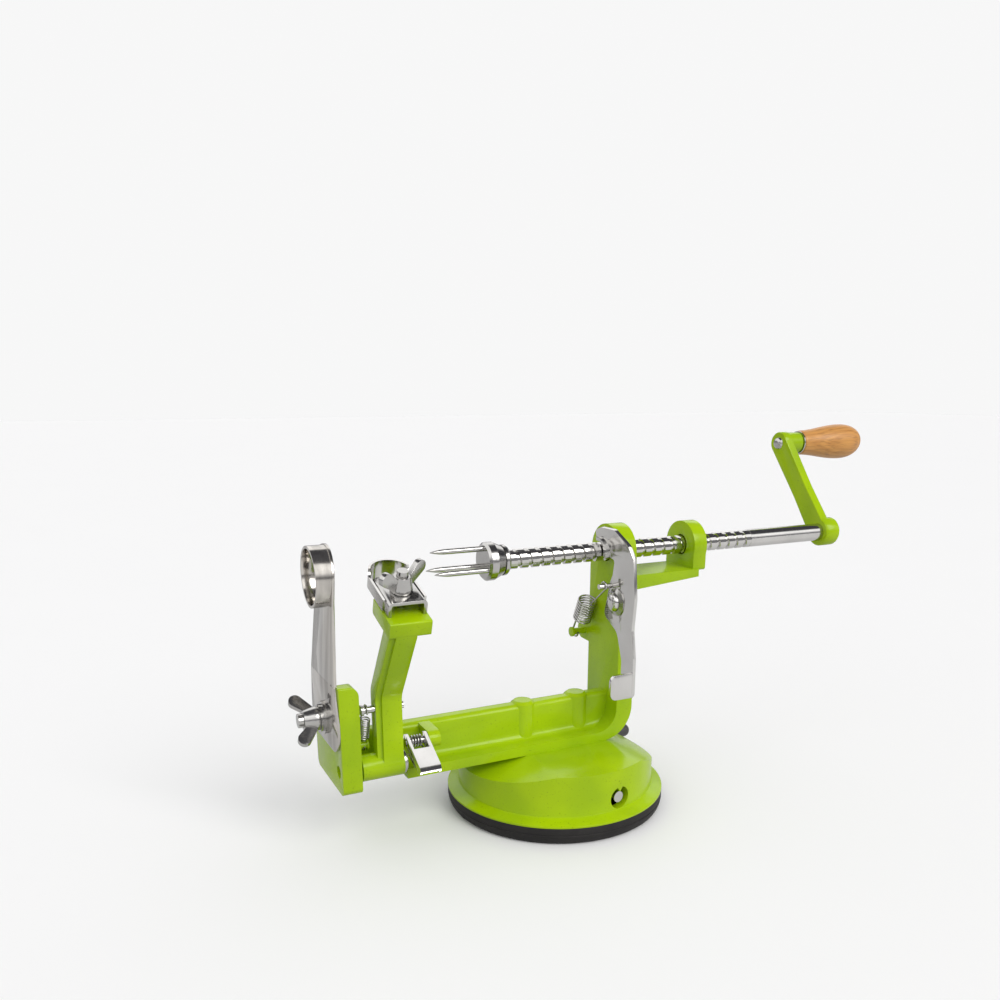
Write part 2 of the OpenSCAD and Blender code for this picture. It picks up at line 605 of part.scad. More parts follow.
// Release lever: plate with a tilted head, a half collar round the shaft and a tongue in the groove
collar_r = [5, 6.6];
tongue_t = 0.8;
ear_c = [-7.2, axis_z - 14.5];
module sector(r0, r1, a0, a1) intersection() {
    difference() {
        circle(r1);
        circle(r0);
    }
    polygon(concat([[0, 0]], arc([0, 0], 3 * r1, a0, a1, 8)));
}
module release_lever() color(chrome) {
    difference() {
        union() {
            slab_x(plate_x, plate_t) translate([0, axis_z]) polygon(rounded([[-3, 0.4, 0], [-3, -1.4, 0],
                [-10.1, -2.6, 1.5], [-8.8, -9.4, 3], [-6.6, -13.5, 3], [-4.5, -21.7, 3], [-2.4, -28.7, 3],
                [-13.7, -34.5, 6], [-18.1, -46.4, 6], [-18.1, -61.5, 2], [-27.4, -61.5, 2], [-27.4, -43.8, 5],
                [-25.3, -30.8, 6], [-26.7, -17.1, 6], [-24.7, 0.4, 0]]));
            translate([plate_x + plate_t, 0, axis_z + 0.4]) rotate([0, -12, 0]) slab_x(-plate_t, plate_t)
                polygon(rounded([[-24.7, -0.2, 0], [-22.1, 5.6, 5], [-12.4, 11.4, 5],
                    [-1.8, 11.3, 3], [4, 9.2, 2.2],
                    [2.6, 1, 0], [-3, -0.2, 0]]));
            slab_x(plate_x - 2.8, 3.4) translate([0, axis_z]) sector(collar_r[0] - 1.5, collar_r[1], 75, 200);
        }
        rod_x(plate_x - 8, plate_x + plate_t + 1, collar_r[0], [0, axis_z]);
        rod_x(plate_x - 1, plate_x + plate_t + 1, rivet_r + run_gap, rivet_c);
    }
    slab_x(tongue_x - tongue_t / 2, tongue_t) translate([0, axis_z])
        sector(shaft_r - 0.5, collar_r[0] + 0.8, 170, 190);
    rod_x(plate_x - 6, plate_x + 0.5, 1.2, ear_c);
    slab_y(-27.3, 1.5) polygon(rounded([
        [plate_x - tab_len, axis_z - 61.3, 3], [plate_x + 0.7, axis_z - 61.3, 0],
        [plate_x + 0.7, axis_z - 50, 0], [plate_x - tab_len, axis_z - 50, 3]]));
}
dish_t = 1.3;
module lever_washer() color(steel) turned_x(plate_x - dish_t, rivet_c)
    polygon([[rivet_r + run_gap, 0], [4.4, 0], [6.2, 0.9], [6.2, dish_t], [rivet_r + run_gap, dish_t]]);
module lever_rivet() color(chrome) turned_x(plate_x - dish_t - 0.15, rivet_c)
    polygon(concat([[0, ear_t + plate_t + dish_t - 0.3], [rivet_r - 0.4, ear_t + plate_t + dish_t - 0.3],
        [rivet_r, ear_t + plate_t + dish_t - 0.7], [rivet_r, 0], [4.25, 0]],
        [for (i = [1 : 7]) [4.25 * cos(i * 12), -2.3 * sin(i * 12)]], [[0, -2.3]]));

// Extension spring in the plane of x: hook round a, coil from c0 along e, hook round b
function ext_path(x, a, b, c0, e, turns, step, r, ra, rb, d, s = 1) =
    let (f = [e[1], -e[0]], pa = [(a - c0) * f, (a - c0) * e], pb = [(b - c0) * f, (b - c0) * e])
    let (k = 0.9, t0 = asin(k / r), t1 = 360 * turns + (s < 0 ? 180 : 0) - t0, l = step * (t1 - t0) / 360)
    let (m = ceil((t1 - t0) / 45))
    let (local = concat([[pa[0] - ra, 0, pa[1] + d]],
        [for (i = [0 : 6]) [pa[0] + ra * cos(180 + 30 * i), 0, pa[1] + ra * sin(180 + 30 * i)]],
        [for (h = [0, 30, 60]) let (v = k * (1 - cos(h))) [sqrt(r * r - v * v), v, k * sin(h) - k]],
        [for (i = [0 : m]) let (t = t0 + (t1 - t0) * i / m) [r * cos(t), r * sin(t), l * i / m]],
        [for (h = [60, 30, 0]) let (v = k * (1 - cos(h)))
            [s * sqrt(r * r - v * v), -s * v, l + k - k * sin(h)]],
        [for (i = [0 : 6]) [pb[0] + s * rb * cos(30 * i), 0, pb[1] + rb * sin(30 * i)]],
        [[pb[0] - s * rb, 0, pb[1] - d]]))
    [for (q = local) [x + q[1], c0[0] + q[0] * f[0] + q[2] * e[0], c0[1] + q[0] * f[1] + q[2] * e[1]]];

lever_spring_x = post_x - 5;
lever_lean = [-sin(24.8), cos(24.8)];
lever_path = ext_path(lever_spring_x, peg_c, ear_c, peg_c + [-5.5, 7], lever_lean, lever_coils,
    lever_wire + coil_gap, lever_coil_r, 1.6 + free_gap + lever_wire / 2, 1.2 + free_gap + lever_wire / 2,
    lever_wire, -1);
module lever_spring() color(steel) wire(lever_path, lever_wire, [1, 0, 0]);

arm_dir = unit(cross_c - nub_c);
arm_path = ext_path(spring_x, nub_c, cross_c,
    nub_c + arm_dir * (norm(cross_c - nub_c) - arm_coils * (arm_wire + coil_gap)) / 2, arm_dir, arm_coils,
    arm_wire + coil_gap, arm_coil_r, nub_r + free_gap + arm_wire / 2,
    cross_r + free_gap + arm_wire / 2, arm_wire);
module arm_spring() color(steel) wire(arm_path, arm_wire, [1, 0, 0]);

// Peeling arm: boss on the pivot pin, stem that leans out, and a tilted pad
module stem_outline(cut) {
    f1 = [arm_front + cut, pivot_c[1] + stem_up];
    f2 = pad_c + [cut, 0];
    g = unit(pad_c - [arm_front, pivot_c[1] + stem_up]);
    h = [g[1], -g[0]];
    back = arm_front + stem_t;
    b1 = [back, pivot_c[1] + stem_up + (stem_t * h[1] + g[1] * stem_t * (h[0] - 1) / -g[0])];
    polygon(rounded([[arm_front + cut, pivot_c[1], 0], [f1[0], f1[1], 8], [f2[0], f2[1], 0],
        [f2[0] + g[0], f2[1] + 3, 0],
        [pad_c[0] + stem_t * h[0] + 2 * g[0], pad_c[1] + stem_t * h[1] + 2 * g[1], 0],
        [b1[0], b1[1], 8], [back, pivot_c[1], 0]]));
}
module peel_arm() color(paint) difference() {
    union() {
        rod_x(arm_boss[0], arm_boss[1], arm_r, pivot_c);
        slab_x(stem_x + 2.2, stem_w - 2.2) stem_outline(0);
        slab_x(stem_x, 2.4) stem_outline(1.5);
        on_pad() slab_x(pad_x[0], pad_x[1] - pad_x[0])
            polygon(rounded([[0, 0, 1.2], [pad_len, 0, 1.2], [pad_len, pad_t, 0.8], [0, pad_t, 0.8]]));
    }
    rod_x(arm_boss[0] - 1, arm_boss[1] + 1, pivot_r + run_gap, pivot_c);
    rod_x(stem_x - 1, stem_x + stem_w + 1, cross_r + fit_gap, cross_c);
    on_pad() translate([stud_x, stud_u, -1]) cylinder(r = stud_r + fit_gap, h = pad_t + 2);
    on_pad() translate([stud_x, stud_u, -20]) cylinder(r = stud_r + 2.2, h = 20);
}
module on_pad() {
    translate([0, pad_c[0], pad_c[1]]) rotate([pad_tilt, 0, 0]) children();
}
bracket_u = [5, 25];
stud_u = 13.5;
stud_x = (bracket_x[0] + bracket_x[1]) / 2;
stud_r = 2.2;

// Pivot pin in the front post, with a washer and an open clip at its end
pin_end = arm_boss[1] + 2;
module arm_pivot_pin() color(steel) turned_x(face_x + 2.2, pivot_c) {
    l = pin_end - face_x - 2.2;
    polygon([[0, 0], [pivot_r, 0], [pivot_r, l - 0.5], [pivot_r - 0.5, l], [0, l]]);
}
module arm_washer() color(steel) turned_x(arm_boss[1] + 0.1, pivot_c)
    polygon([[pivot_r + fit_gap, 0], [5, 0], [5, 0.9], [pivot_r + fit_gap, 0.9]]);
module arm_clip() color(steel) slab_x(arm_boss[1] + 1, 0.6) translate(pivot_c) difference() {
    circle(pivot_r + 1.6);
    circle(pivot_r + fit_gap);
    polygon([[0, 0], [8, 4], [8, -4]]);
}
module spring_pin() color(steel) {
    rod_x(spring_x - 1.5, stem_x + stem_w + 1.5, cross_r, cross_c);
    rod_x(spring_x - 2.2, spring_x - 1.2, cross_r + 0.7, cross_c);
}

// Channel that carries the blade, its stud and the looped peeling blade
module blade_bracket() color(steel) on_pad() difference() {
    slab_y(bracket_u[0], bracket_u[1] - bracket_u[0]) translate([bracket_x[0], pad_t]) {
        w = bracket_x[1] - bracket_x[0];
        difference() {
            polygon(rounded([[0, 0, 0], [w, 0, 0], [w, bracket_h, 2], [0, bracket_h, 2]]));
            polygon(rounded([[bracket_t, -1, 0], [w - bracket_t, -1, 0],
                [w - bracket_t, bracket_h - bracket_t, 0.7],
                [bracket_t, bracket_h - bracket_t, 0.7]]));
        }
    }
    translate([stud_x, stud_u, pad_t]) cylinder(r = stud_r + fit_gap, h = bracket_h + 1);
}
module blade_stud() color(steel) on_pad() translate([stud_x, stud_u, 0]) {
    cylinder(r = stud_r, h = pad_t + bracket_h + 8.5);
    translate([0, 0, -1.6]) cylinder(r = stud_r + 1.6, h = 1.6);
}
module loop_outline(r) {
    translate([0, loop_reach - (bracket_x[1] - bracket_x[0]) / 2 - strip_t]) circle(r);
    translate([-r, bracket_u[0] + 4 - bracket_u[1]])
        square([2 * r,
            bracket_u[1] - bracket_u[0] - 4 + loop_reach - (bracket_x[1] - bracket_x[0]) / 2 - strip_t]);
}
module peel_blade() color(chrome) on_pad() difference() {
    translate([stud_x, bracket_u[1], pad_t + 0.7]) linear_extrude(strip_w) difference() {
        loop_outline((bracket_x[1] - bracket_x[0]) / 2 + strip_t);
        translate([0, -1]) loop_outline((bracket_x[1] - bracket_x[0]) / 2 - eps);
        loop_outline((bracket_x[1] - bracket_x[0]) / 2);
    }
    translate([bracket_x[0] - 5, 0, pad_t + bracket_h - 0.6]) cube([30, bracket_u[1] + 0.6, strip_w]);
    translate([bracket_x[0] - 5, bracket_u[1] + 0.6, pad_t + 0.7 + strip_w]) rotate([0, 90, 0])
        cylinder(r = 0.7 + strip_w - bracket_h + 0.6, h = 30);
}

// Wing nut standing on its seat
module wing_nut(r) difference() {
    union() {
        rotate_extrude() polygon([[0, 0], [r + 2.1, 0], [r + 2.1, 1.2], [r + 1.1, 6.2], [0, 6.2]]);
        for (a = [0, 180]) rotate([0, 0, a]) slab_y(-1.1, 2.2)
            link([r + 0.8, 2.6], [wing_reach - 2.7, 7.4], 1.9, 2.7);
    }
    translate([0, 0, -1]) cylinder(r = r + run_gap, h = 14);
}
module blade_wing_nut() color(steel) on_pad() translate([stud_x, stud_u, pad_t + bracket_h + 0.1])
    rotate([0, 0, 28]) wing_nut(stud_r);

// Latch: two cheeks on a pin, a thumb pad across them and a spring round the pin
tail_c = latch_c + [-15, -6.6];
cheek_r = [latch_pin_r + 1.8, 1.9];
latch_a = atan2(-6.6, -15) - acos((cheek_r[0] - cheek_r[1]) / norm([15, 6.6]));
latch_n = [cos(latch_a), sin(latch_a)];
latch_p = latch_c + cheek_r[0] * latch_n;
latch_q = tail_c + cheek_r[1] * latch_n;
latch_m = latch_p + (latch_q - latch_p) * 0.42;
module arm_latch() color(chrome) difference() {
    union() {
        for (x = [cheek_x, cheek_x + latch_t + latch_w]) slab_x(x, latch_t)
            link(latch_c, tail_c, cheek_r[0], cheek_r[1]);
        slab_x(cheek_x, 2 * latch_t + latch_w) {
            polygon([latch_m, latch_q, latch_q - latch_n * latch_t, latch_m - latch_n * latch_t]);
            translate(tail_c) intersection() {
                difference() {
                    circle(cheek_r[1]);
                    circle(cheek_r[1] - latch_t);
                }
                rotate(latch_a) translate([0, 0]) square(4);
            }
        }
    }
    rod_x(cheek_x - 1, latch_lug_x, latch_pin_r + run_gap, latch_c);
}
module latch_pin() color(steel) {
    rod_x(cheek_x - 0.3, latch_lug_x + 4, latch_pin_r, latch_c);
}
latch_coil_r = latch_pin_r + 0.4 + latch_wire / 2;
latch_u = latch_m + (latch_q - latch_m) * 0.35 - latch_n * latch_t;
latch_x = cheek_x + latch_t + latch_w / 2 - latch_coils * (latch_wire + coil_gap) / 2;
latch_path = let (x1 = latch_x + latch_coils * (latch_wire + coil_gap), z = latch_c[1] - latch_coil_r,
        g = latch_u - latch_n * (free_gap + latch_wire), h = latch_u - latch_n * free_gap)
    concat([for (y = [-web_t / 2 - free_gap, -web_t / 2 - 2, latch_c[0] + 1]) [latch_x, y, z]],
        [for (i = [0 : 8 * latch_coils]) [latch_x + (latch_wire + coil_gap) * i / 8,
            latch_c[0] + latch_coil_r * cos(270 - 45 * i), latch_c[1] + latch_coil_r * sin(270 - 45 * i)]],
        [[x1, latch_c[0] - 1, z - 0.1], [x1, g[0] + 1.4, g[1] - 0.2], [x1, g[0], g[1]], [x1, h[0], h[1]]]);
module latch_spring() color(steel) wire(latch_path, latch_wire, [0, 0, 1]);

// Slicer: plate on the front post, bent towards the work, with a drawn coring ring
ring_x = face_x + (axis_z - bend_z) * tan(slice_bend);
head_r = ring_r + 0.4;
slice_low = deck + 17.5;
module slicer_blade() color(chrome) difference() {
    union() {
        slab_x(face_x - slice_t, slice_t) polygon(rounded([[-front_half + 0.1, slice_low, 8],
            [front_half - 0.1, slice_low, 8], [front_half - 0.1, deck + 31, 6], [front_half - 2.2, bend_z, 0],
            [2.2 - front_half, bend_z, 0], [0.1 - front_half, deck + 31, 6]]));
        translate([face_x, 0, bend_z]) rotate([0, slice_bend, 0]) slab_x(-slice_t, slice_t) {
            polygon([[2.2 - front_half, -0.01], [front_half - 2.2, -0.01], [head_r, axis_z - bend_z - 8],
                [head_r, axis_z - bend_z], [-head_r, axis_z - bend_z], [-head_r, axis_z - bend_z - 8]]);
            translate([0, (axis_z - bend_z) / cos(slice_bend)]) circle(head_r);
        }
        rod_x(ring_x - ring_len, ring_x, ring_r, [0, axis_z]);
    }
    rod_x(ring_x - ring_len - 1, ring_x + 3, ring_r - ring_wall, [0, axis_z]);
    slab_x(face_x - slice_t - 1, slice_t + 2)
        link([0, deck + bolt_h - 2], [0, deck + bolt_h + 2], bolt_r + free_gap, bolt_r + free_gap);
}
module slicer_bolt() color(steel) {
    rod_x(nut_x - 8.4, front_x, bolt_r, [0, deck + bolt_h]);
    turned_x(front_x, [0, deck + bolt_h]) polygon([[0, 0], [5.6, 0], [5.4, 1], [4, 2.4], [2, 3], [0, 3]]);
}
module slicer_washers() color(steel) difference() {
    union() {
        rod_x(face_x - slice_t - washer_t[0], face_x - slice_t, 6.8, [0, deck + bolt_h]);
        rod_x(nut_x, nut_x + washer_t[1], 5.6, [0, deck + bolt_h]);
    }
    rod_x(nut_x - 1, face_x, bolt_r + fit_gap, [0, deck + bolt_h]);
    translate([nut_x - 0.1, -0.4, deck + bolt_h]) cube([washer_t[1] + 0.1, 0.8, 9]);
}
module slicer_wing_nut() color(steel) translate([nut_x - 0.1, 0, deck + bolt_h]) rotate([0, -90, 0])
    rotate([0, 0, 50]) wing_nut(bolt_r);

echo(least_gap_lever_spring = self_gap(lever_path, lever_wire),
    least_gap_arm_spring = self_gap(arm_path, arm_wire),
    least_gap_latch_spring = self_gap(latch_path, latch_wire));

base_housing();
base_screws();
suction_cup();
cup_stem();
cam_shaft();
suction_lever();
lever_grip();
frame_casting();
worm_shaft();
fork_collar();
fork_hub();
fork_tines();
crank_arm();
knob_pin();
knob_washer();
knob();
release_lever();
lever_washer();
lever_rivet();
lever_spring();
peel_arm();
arm_pivot_pin();
arm_washer();
arm_clip();
arm_spring();
spring_pin();
blade_bracket();
peel_blade();
blade_stud();
blade_wing_nut();
arm_latch();
latch_pin();
latch_spring();
slicer_blade();
slicer_bolt();
slicer_washers();
slicer_wing_nut();
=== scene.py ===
"""Hand-cranked apple peeler on a suction base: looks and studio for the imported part."""
import json
import logging
import math
from dataclasses import dataclass
from enum import Enum
from typing import Any, Iterable, Sequence

import bmesh
import bpy
from mathutils import Matrix, Vector


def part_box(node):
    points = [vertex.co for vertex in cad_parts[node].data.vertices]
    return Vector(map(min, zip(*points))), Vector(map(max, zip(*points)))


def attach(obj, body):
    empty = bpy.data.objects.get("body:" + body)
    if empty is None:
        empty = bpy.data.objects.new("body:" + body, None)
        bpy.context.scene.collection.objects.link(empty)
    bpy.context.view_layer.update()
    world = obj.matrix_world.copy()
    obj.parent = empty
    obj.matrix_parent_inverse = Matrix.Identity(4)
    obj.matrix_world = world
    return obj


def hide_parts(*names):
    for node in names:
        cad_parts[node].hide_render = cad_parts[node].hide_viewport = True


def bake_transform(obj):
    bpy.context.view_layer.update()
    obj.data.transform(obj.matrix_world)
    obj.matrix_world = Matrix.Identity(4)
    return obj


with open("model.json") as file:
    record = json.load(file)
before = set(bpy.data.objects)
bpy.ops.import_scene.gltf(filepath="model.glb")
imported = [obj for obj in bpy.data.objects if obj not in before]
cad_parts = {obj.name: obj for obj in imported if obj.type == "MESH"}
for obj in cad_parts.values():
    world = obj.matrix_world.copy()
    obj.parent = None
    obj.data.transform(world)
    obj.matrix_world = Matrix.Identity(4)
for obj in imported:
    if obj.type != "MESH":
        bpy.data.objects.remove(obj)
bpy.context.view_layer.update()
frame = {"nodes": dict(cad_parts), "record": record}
LOG = logging.getLogger("peeler")
MM = 0.001
# Turns the noise's lattice away from the part's flat faces.
TILT = (0.4, 0.7, 0.2)
Point = tuple[float, float, float]
Pair = tuple[float, float]


class Slot(Enum):
    """The record's material slots."""

    PAINT = "paint"
    CHROME = "chrome"
    STEEL = "steel"
    RUBBER = "rubber"
    GRIP = "grip"
    WOOD = "wood"


class Ray(Enum):
    """The kinds of ray that a studio surface tells apart."""

    CAMERA = "Is Camera Ray"
    GLOSSY = "Is Glossy Ray"


class Sock:
    """A node socket that takes part in Python maths."""

    def __init__(self, graph: "Graph", socket: bpy.types.NodeSocket) -> None:
        """Keep the socket and the graph that it belongs to."""
        self.graph = graph
        self.socket = socket

    def _math(self, operation: str, a: "Sock | float", b: "Sock | float") -> "Sock":
        """Add one Math node and return its value."""
        return self.graph.node("ShaderNodeMath", {"operation": operation}, {0: a, 1: b})

    def __add__(self, other: "Sock | float") -> "Sock":
        """Sum."""
        return self._math("ADD", self, other)

    def __radd__(self, other: float) -> "Sock":
        """Sum, reflected."""
        return self._math("ADD", other, self)

    def __sub__(self, other: "Sock | float") -> "Sock":
        """Difference."""
        return self._math("SUBTRACT", self, other)

    def __rsub__(self, other: float) -> "Sock":
        """Difference, reflected."""
        return self._math("SUBTRACT", other, self)

    def __mul__(self, other: "Sock | float") -> "Sock":
        """Product."""
        return self._math("MULTIPLY", self, other)

    def __rmul__(self, other: float) -> "Sock":
        """Product, reflected."""
        return self._math("MULTIPLY", other, self)

    def __truediv__(self, other: "Sock | float") -> "Sock":
        """Quotient."""
        return self._math("DIVIDE", self, other)

    def __rtruediv__(self, other: float) -> "Sock":
        """Quotient, reflected."""
        return self._math("DIVIDE", other, self)


class Graph:
    """A node tree under construction."""

    def __init__(self, tree: bpy.types.NodeTree) -> None:
        """Keep the tree."""
        self.tree = tree

    def node(self, kind: str, settings: dict[str, Any], inputs: dict[Any, Any], out: Any = 0) -> Sock:
        """Add one node.

        Args:
            kind: the node's type.
            settings: attributes, set before the inputs; "stops" fills a colour ramp.
            inputs: values or sockets by socket name or number.
            out: the output to hand back.

        Returns:
            The wrapped output socket.
        """
        made = self.tree.nodes.new(kind)
        for key, value in settings.items():
            if key == "stops":
                ramp = made.color_ramp
                while len(ramp.elements) < len(value):
                    ramp.elements.new(0.5)
                for element, (place, colour) in zip(ramp.elements, value):
                    element.position = place
                    element.color = (*colour, 1.0)
            else:
                setattr(made, key, value)
        for key, value in inputs.items():
            if isinstance(value, Sock):
                self.tree.links.new(value.socket, made.inputs[key])
            else:
                made.inputs[key].default_value = value
        return Sock(self, made.outputs[out])

    def close(self, kind: str, name: str, value: Sock) -> None:
        """Send a socket to an output node's input of that name."""
        self.tree.links.new(value.socket, self.tree.nodes.new(kind).inputs[name])


class Shader(Graph):
    """A material, or the world, under construction."""

    def __init__(self, name: str, world: bool = False) -> None:
        """Start an empty node material, or world, of that name.

        Args:
            name: the name of the material or world.
            world: whether it is the world.
        """
        self.material = (bpy.data.worlds if world else bpy.data.materials).new(name)
        self.material.use_nodes = True
        super().__init__(self.material.node_tree)
        self.tree.nodes.clear()
        self.coords = self.node("ShaderNodeTexCoord", {}, {}, out="Object")

    def noise(self, scale: float, detail: float = 3.0, stretch: Point = (1, 1, 1), rough: float = 0.5) -> Sock:
        """Noise on object coordinates.

        Args:
            scale: cells per metre.
            detail: octaves.
            stretch: scale along each axis.
            rough: weight of the finer octaves.

        Returns:
            The noise value, about 0 to 1.
        """
        where = self.node("ShaderNodeMapping", {}, {"Vector": self.coords, "Scale": stretch, "Rotation": TILT})
        return self.node("ShaderNodeTexNoise", {},
                         {"Vector": where, "Scale": scale, "Detail": detail, "Roughness": rough})

    def axis(self, vector: Sock, name: str) -> Sock:
        """One coordinate of a vector, X, Y or Z."""
        return self.node("ShaderNodeSeparateXYZ", {}, {0: vector}, out=name)

    def ray(self, kind: Ray) -> Sock:
        """1 for rays of that kind, else 0."""
        return self.node("ShaderNodeLightPath", {}, {}, out=kind.value)

    def mix(self, factor: Sock, a: Any, b: Any) -> Sock:
        """Mix two colours by a factor."""
        return self.node("ShaderNodeMix", {"data_type": "RGBA"}, {0: factor, 6: a, 7: b}, out=2)

    def ramp(self, value: Sock, stops: Sequence[tuple[float, Point]]) -> Sock:
        """Send a value through a colour ramp."""
        return self.node("ShaderNodeValToRGB", {"stops": stops}, {0: value})

    def rise(self, value: Sock, low: float, high: float) -> Sock:
        """A mask that rises from 0 to 1 between two values."""
        return self.ramp(value, [(low, (0, 0, 0)), (high, (1, 1, 1))])

    def bump(self, height: Sock, distance: float, strength: float = 0.5) -> Sock:
        """Turn a height in 0 to 1 into a normal.

        Args:
            height: the height.
            distance: metres for a height of 1.
            strength: how much of it shows.

        Returns:
            The normal.
        """
        return self.node("ShaderNodeBump", {}, {"Height": height, "Distance": distance, "Strength": strength})

    def surface(self, inputs: dict[str, Any]) -> bpy.types.Material:
        """Close the material with a principled surface."""
        self.close("ShaderNodeOutputMaterial", "Surface", self.node("ShaderNodeBsdfPrincipled", {}, inputs))
        return self.material


def rgba(colour: Point, scale: float = 1.0) -> tuple[float, ...]:
    """A colour, made lighter or darker, with full alpha."""
    return (*(scale * c for c in colour), 1.0)


def grey(level: float) -> tuple[float, ...]:
    """A neutral colour with full alpha."""
    return rgba((level, level, level))


@dataclass(frozen=True)
class GlossPaint:
    """Thick yellow-green gloss paint over a casting."""

    colour: Point = (0.398, 0.582, 0.002)
    shade: Point = (0.318, 0.492, 0.003)
    pit_tone: float = 0.66
    peel: float = 420.0
    rough: float = 0.15
    coat: float = 0.06
    relief: float = 0.00022

    def build(self) -> bpy.types.Material:
        """Paint with slow colour drift, orange peel and small cast pits.

        Returns:
            The material.
        """
        s = Shader("gloss_paint")
        drift = s.noise(38.0, 2.0)
        fine = s.noise(self.peel, 2.0)
        cast = s.noise(90.0, 3.0)
        sound = s.rise(s.noise(1500.0, 1.0), 0.20, 0.34)
        colour = s.mix(s.rise(drift, 0.35, 0.65), rgba(self.colour), rgba(self.shade))
        return s.surface({
            "Base Color": s.mix(sound, rgba(self.shade, self.pit_tone), colour),
            "Roughness": self.rough + fine * 0.10 + drift * 0.05, "Specular IOR Level": 0.18,
            "Coat Weight": self.coat + drift * 0.10, "Coat Roughness": 0.05,
            "Normal": s.bump(fine * 0.3 + cast * 0.9 + sound * 0.10, self.relief)})


@dataclass(frozen=True)
class BrightChrome:
    """Polished chrome plate with faint drawing lines and finger marks."""

    colour: Point = (0.60, 0.588, 0.57)
    name: str = "bright_chrome"
    grain: Point = (6.0, 1.0, 1.0)
    streak: float = 0.1
    depth: float = 0.14
    rough: float = 0.07
    relief: float = 0.00006

    def build(self) -> bpy.types.Material:
        """Chrome with uneven polish, and dark streaks along its grain; weighted strongly, as on the slicer plate, the
        streaks are also painted reflection.

        Returns:
            The material.
        """
        s = Shader(self.name)
        marks = s.noise(60.0, 4.0)
        lines = s.noise(900.0, 2.0, self.grain)
        wave = s.noise(160.0, 1.0)
        # Dark streaks: real grain, and painted reflection where they are weighted strongly.
        grain_and_reflection_streaks = s.rise(s.noise(170.0, 3.0, self.grain), 0.42, 0.62)
        dull = s.rise(marks, 0.4, 0.75) * (1.0 - self.streak) + grain_and_reflection_streaks * self.streak
        return s.surface({
            "Base Color": s.mix(dull, rgba(self.colour), rgba(self.colour, 1.0 - self.depth)),
            "Metallic": 1.0, "Roughness": self.rough + marks * 0.1 + lines * 0.05,
            "Normal": s.bump(lines * 0.12 + wave * 0.5, self.relief, 0.6)})


@dataclass(frozen=True)
class PlatedSteel:
    """Zinc-plated steel, duller than the chrome."""

    colour: Point = (0.50, 0.49, 0.475)
    depth: float = 0.2
    rough: float = 0.09
    relief: float = 0.00004

    def build(self) -> bpy.types.Material:
        """Plated steel with a cloudy grain.

        Returns:
            The material.
        """
        s = Shader("plated_steel")
        cloud = s.noise(140.0, 4.0)
        grain = s.noise(1400.0, 2.0, (1.0, 3.0, 3.0))
        return s.surface({
            "Base Color": s.mix(cloud, rgba(self.colour), rgba(self.colour, 1.0 - self.depth)),
            "Metallic": 1.0, "Roughness": self.rough + cloud * 0.10 + grain * 0.05,
            "Normal": s.bump(grain, self.relief)})


@dataclass(frozen=True)
class FootRubber:
    """Black foot rubber with a dusty bloom."""

    colour: Point = (0.013, 0.0115, 0.0115)
    bloom: Point = (0.028, 0.026, 0.025)
    rough: float = 0.46
    relief: float = 0.0001

    def build(self) -> bpy.types.Material:
        """Rubber with moulded texture and bloom.

        Returns:
            The material.
        """
        s = Shader("foot_rubber")
        dust = s.noise(70.0, 5.0, rough=0.65)
        skin = s.noise(1100.0, 2.0)
        return s.surface({
            "Base Color": s.mix(s.rise(dust, 0.42, 0.8), rgba(self.colour), rgba(self.bloom)),
            "Roughness": self.rough + dust * 0.25, "Specular IOR Level": 0.3,
            "Normal": s.bump(skin * 0.5 + dust * 0.5, self.relief)})


@dataclass(frozen=True)
class GripPlastic:
    """Black sleeve on the suction lever."""

    colour: Point = (0.045, 0.042, 0.045)
    worn: float = 1.6
    rough: float = 0.33
    relief: float = 0.00007

    def build(self) -> bpy.types.Material:
        """Satin plastic with a fine spark texture.

        Returns:
            The material.
        """
        s = Shader("grip_plastic")
        wear = s.noise(120.0, 4.0)
        spark = s.noise(1800.0, 1.0)
        return s.surface({
            "Base Color": s.mix(wear, rgba(self.colour), rgba(self.colour, self.worn)),
            "Roughness": self.rough + wear * 0.2, "Normal": s.bump(spark, self.relief)})


@dataclass(frozen=True)
class TurnedWood:
    """Varnished knob wood, grain along the knob."""

    pale: Point = (0.74, 0.36, 0.088)
    deep: Point = (0.46, 0.19, 0.040)
    pore: Point = (0.62, 0.62, 0.62)
    centre: Point = (0.0, 0.0, 0.0)
    rough: float = 0.34
    varnish: float = 0.08
    relief: float = 0.00009

    def build(self) -> bpy.types.Material:
        """Wood with year lines, pores and a thin varnish.

        Returns:
            The material.
        """
        s = Shader("turned_wood")
        where = s.node("ShaderNodeMapping", {},
                       {"Vector": s.coords, "Location": tuple(-c for c in self.centre), "Scale": (0.09, 1.0, 1.0)})
        rings = s.node("ShaderNodeTexWave", {"wave_type": "BANDS", "bands_direction": "Y"},
                       {"Vector": where, "Scale": 190.0, "Distortion": 4.5, "Detail": 3.0, "Detail Scale": 1.4},
                       out=1)
        pores = s.noise(1500.0, 3.0, (0.05, 1.0, 1.0))
        tone = s.noise(45.0, 2.0, (0.3, 1.0, 1.0))
        colour = s.ramp(rings * 0.22 + tone * 0.4 + pores * 0.38, [(0.2, self.deep), (0.8, self.pale)])
        dark = s.ramp(pores, [(0.3, self.pore), (0.5, (1, 1, 1))])
        wood = s.node("ShaderNodeMix", {"data_type": "RGBA", "blend_type": "MULTIPLY"},
                      {0: 0.7, 6: colour, 7: dark}, out=2)
        return s.surface({
            "Base Color": wood, "Roughness": self.rough + pores * 0.2,
            "Coat Weight": self.varnish + tone * 0.1, "Coat Roughness": 0.15,
            "Normal": s.bump(pores * 0.6 + rings * 0.4, self.relief)})


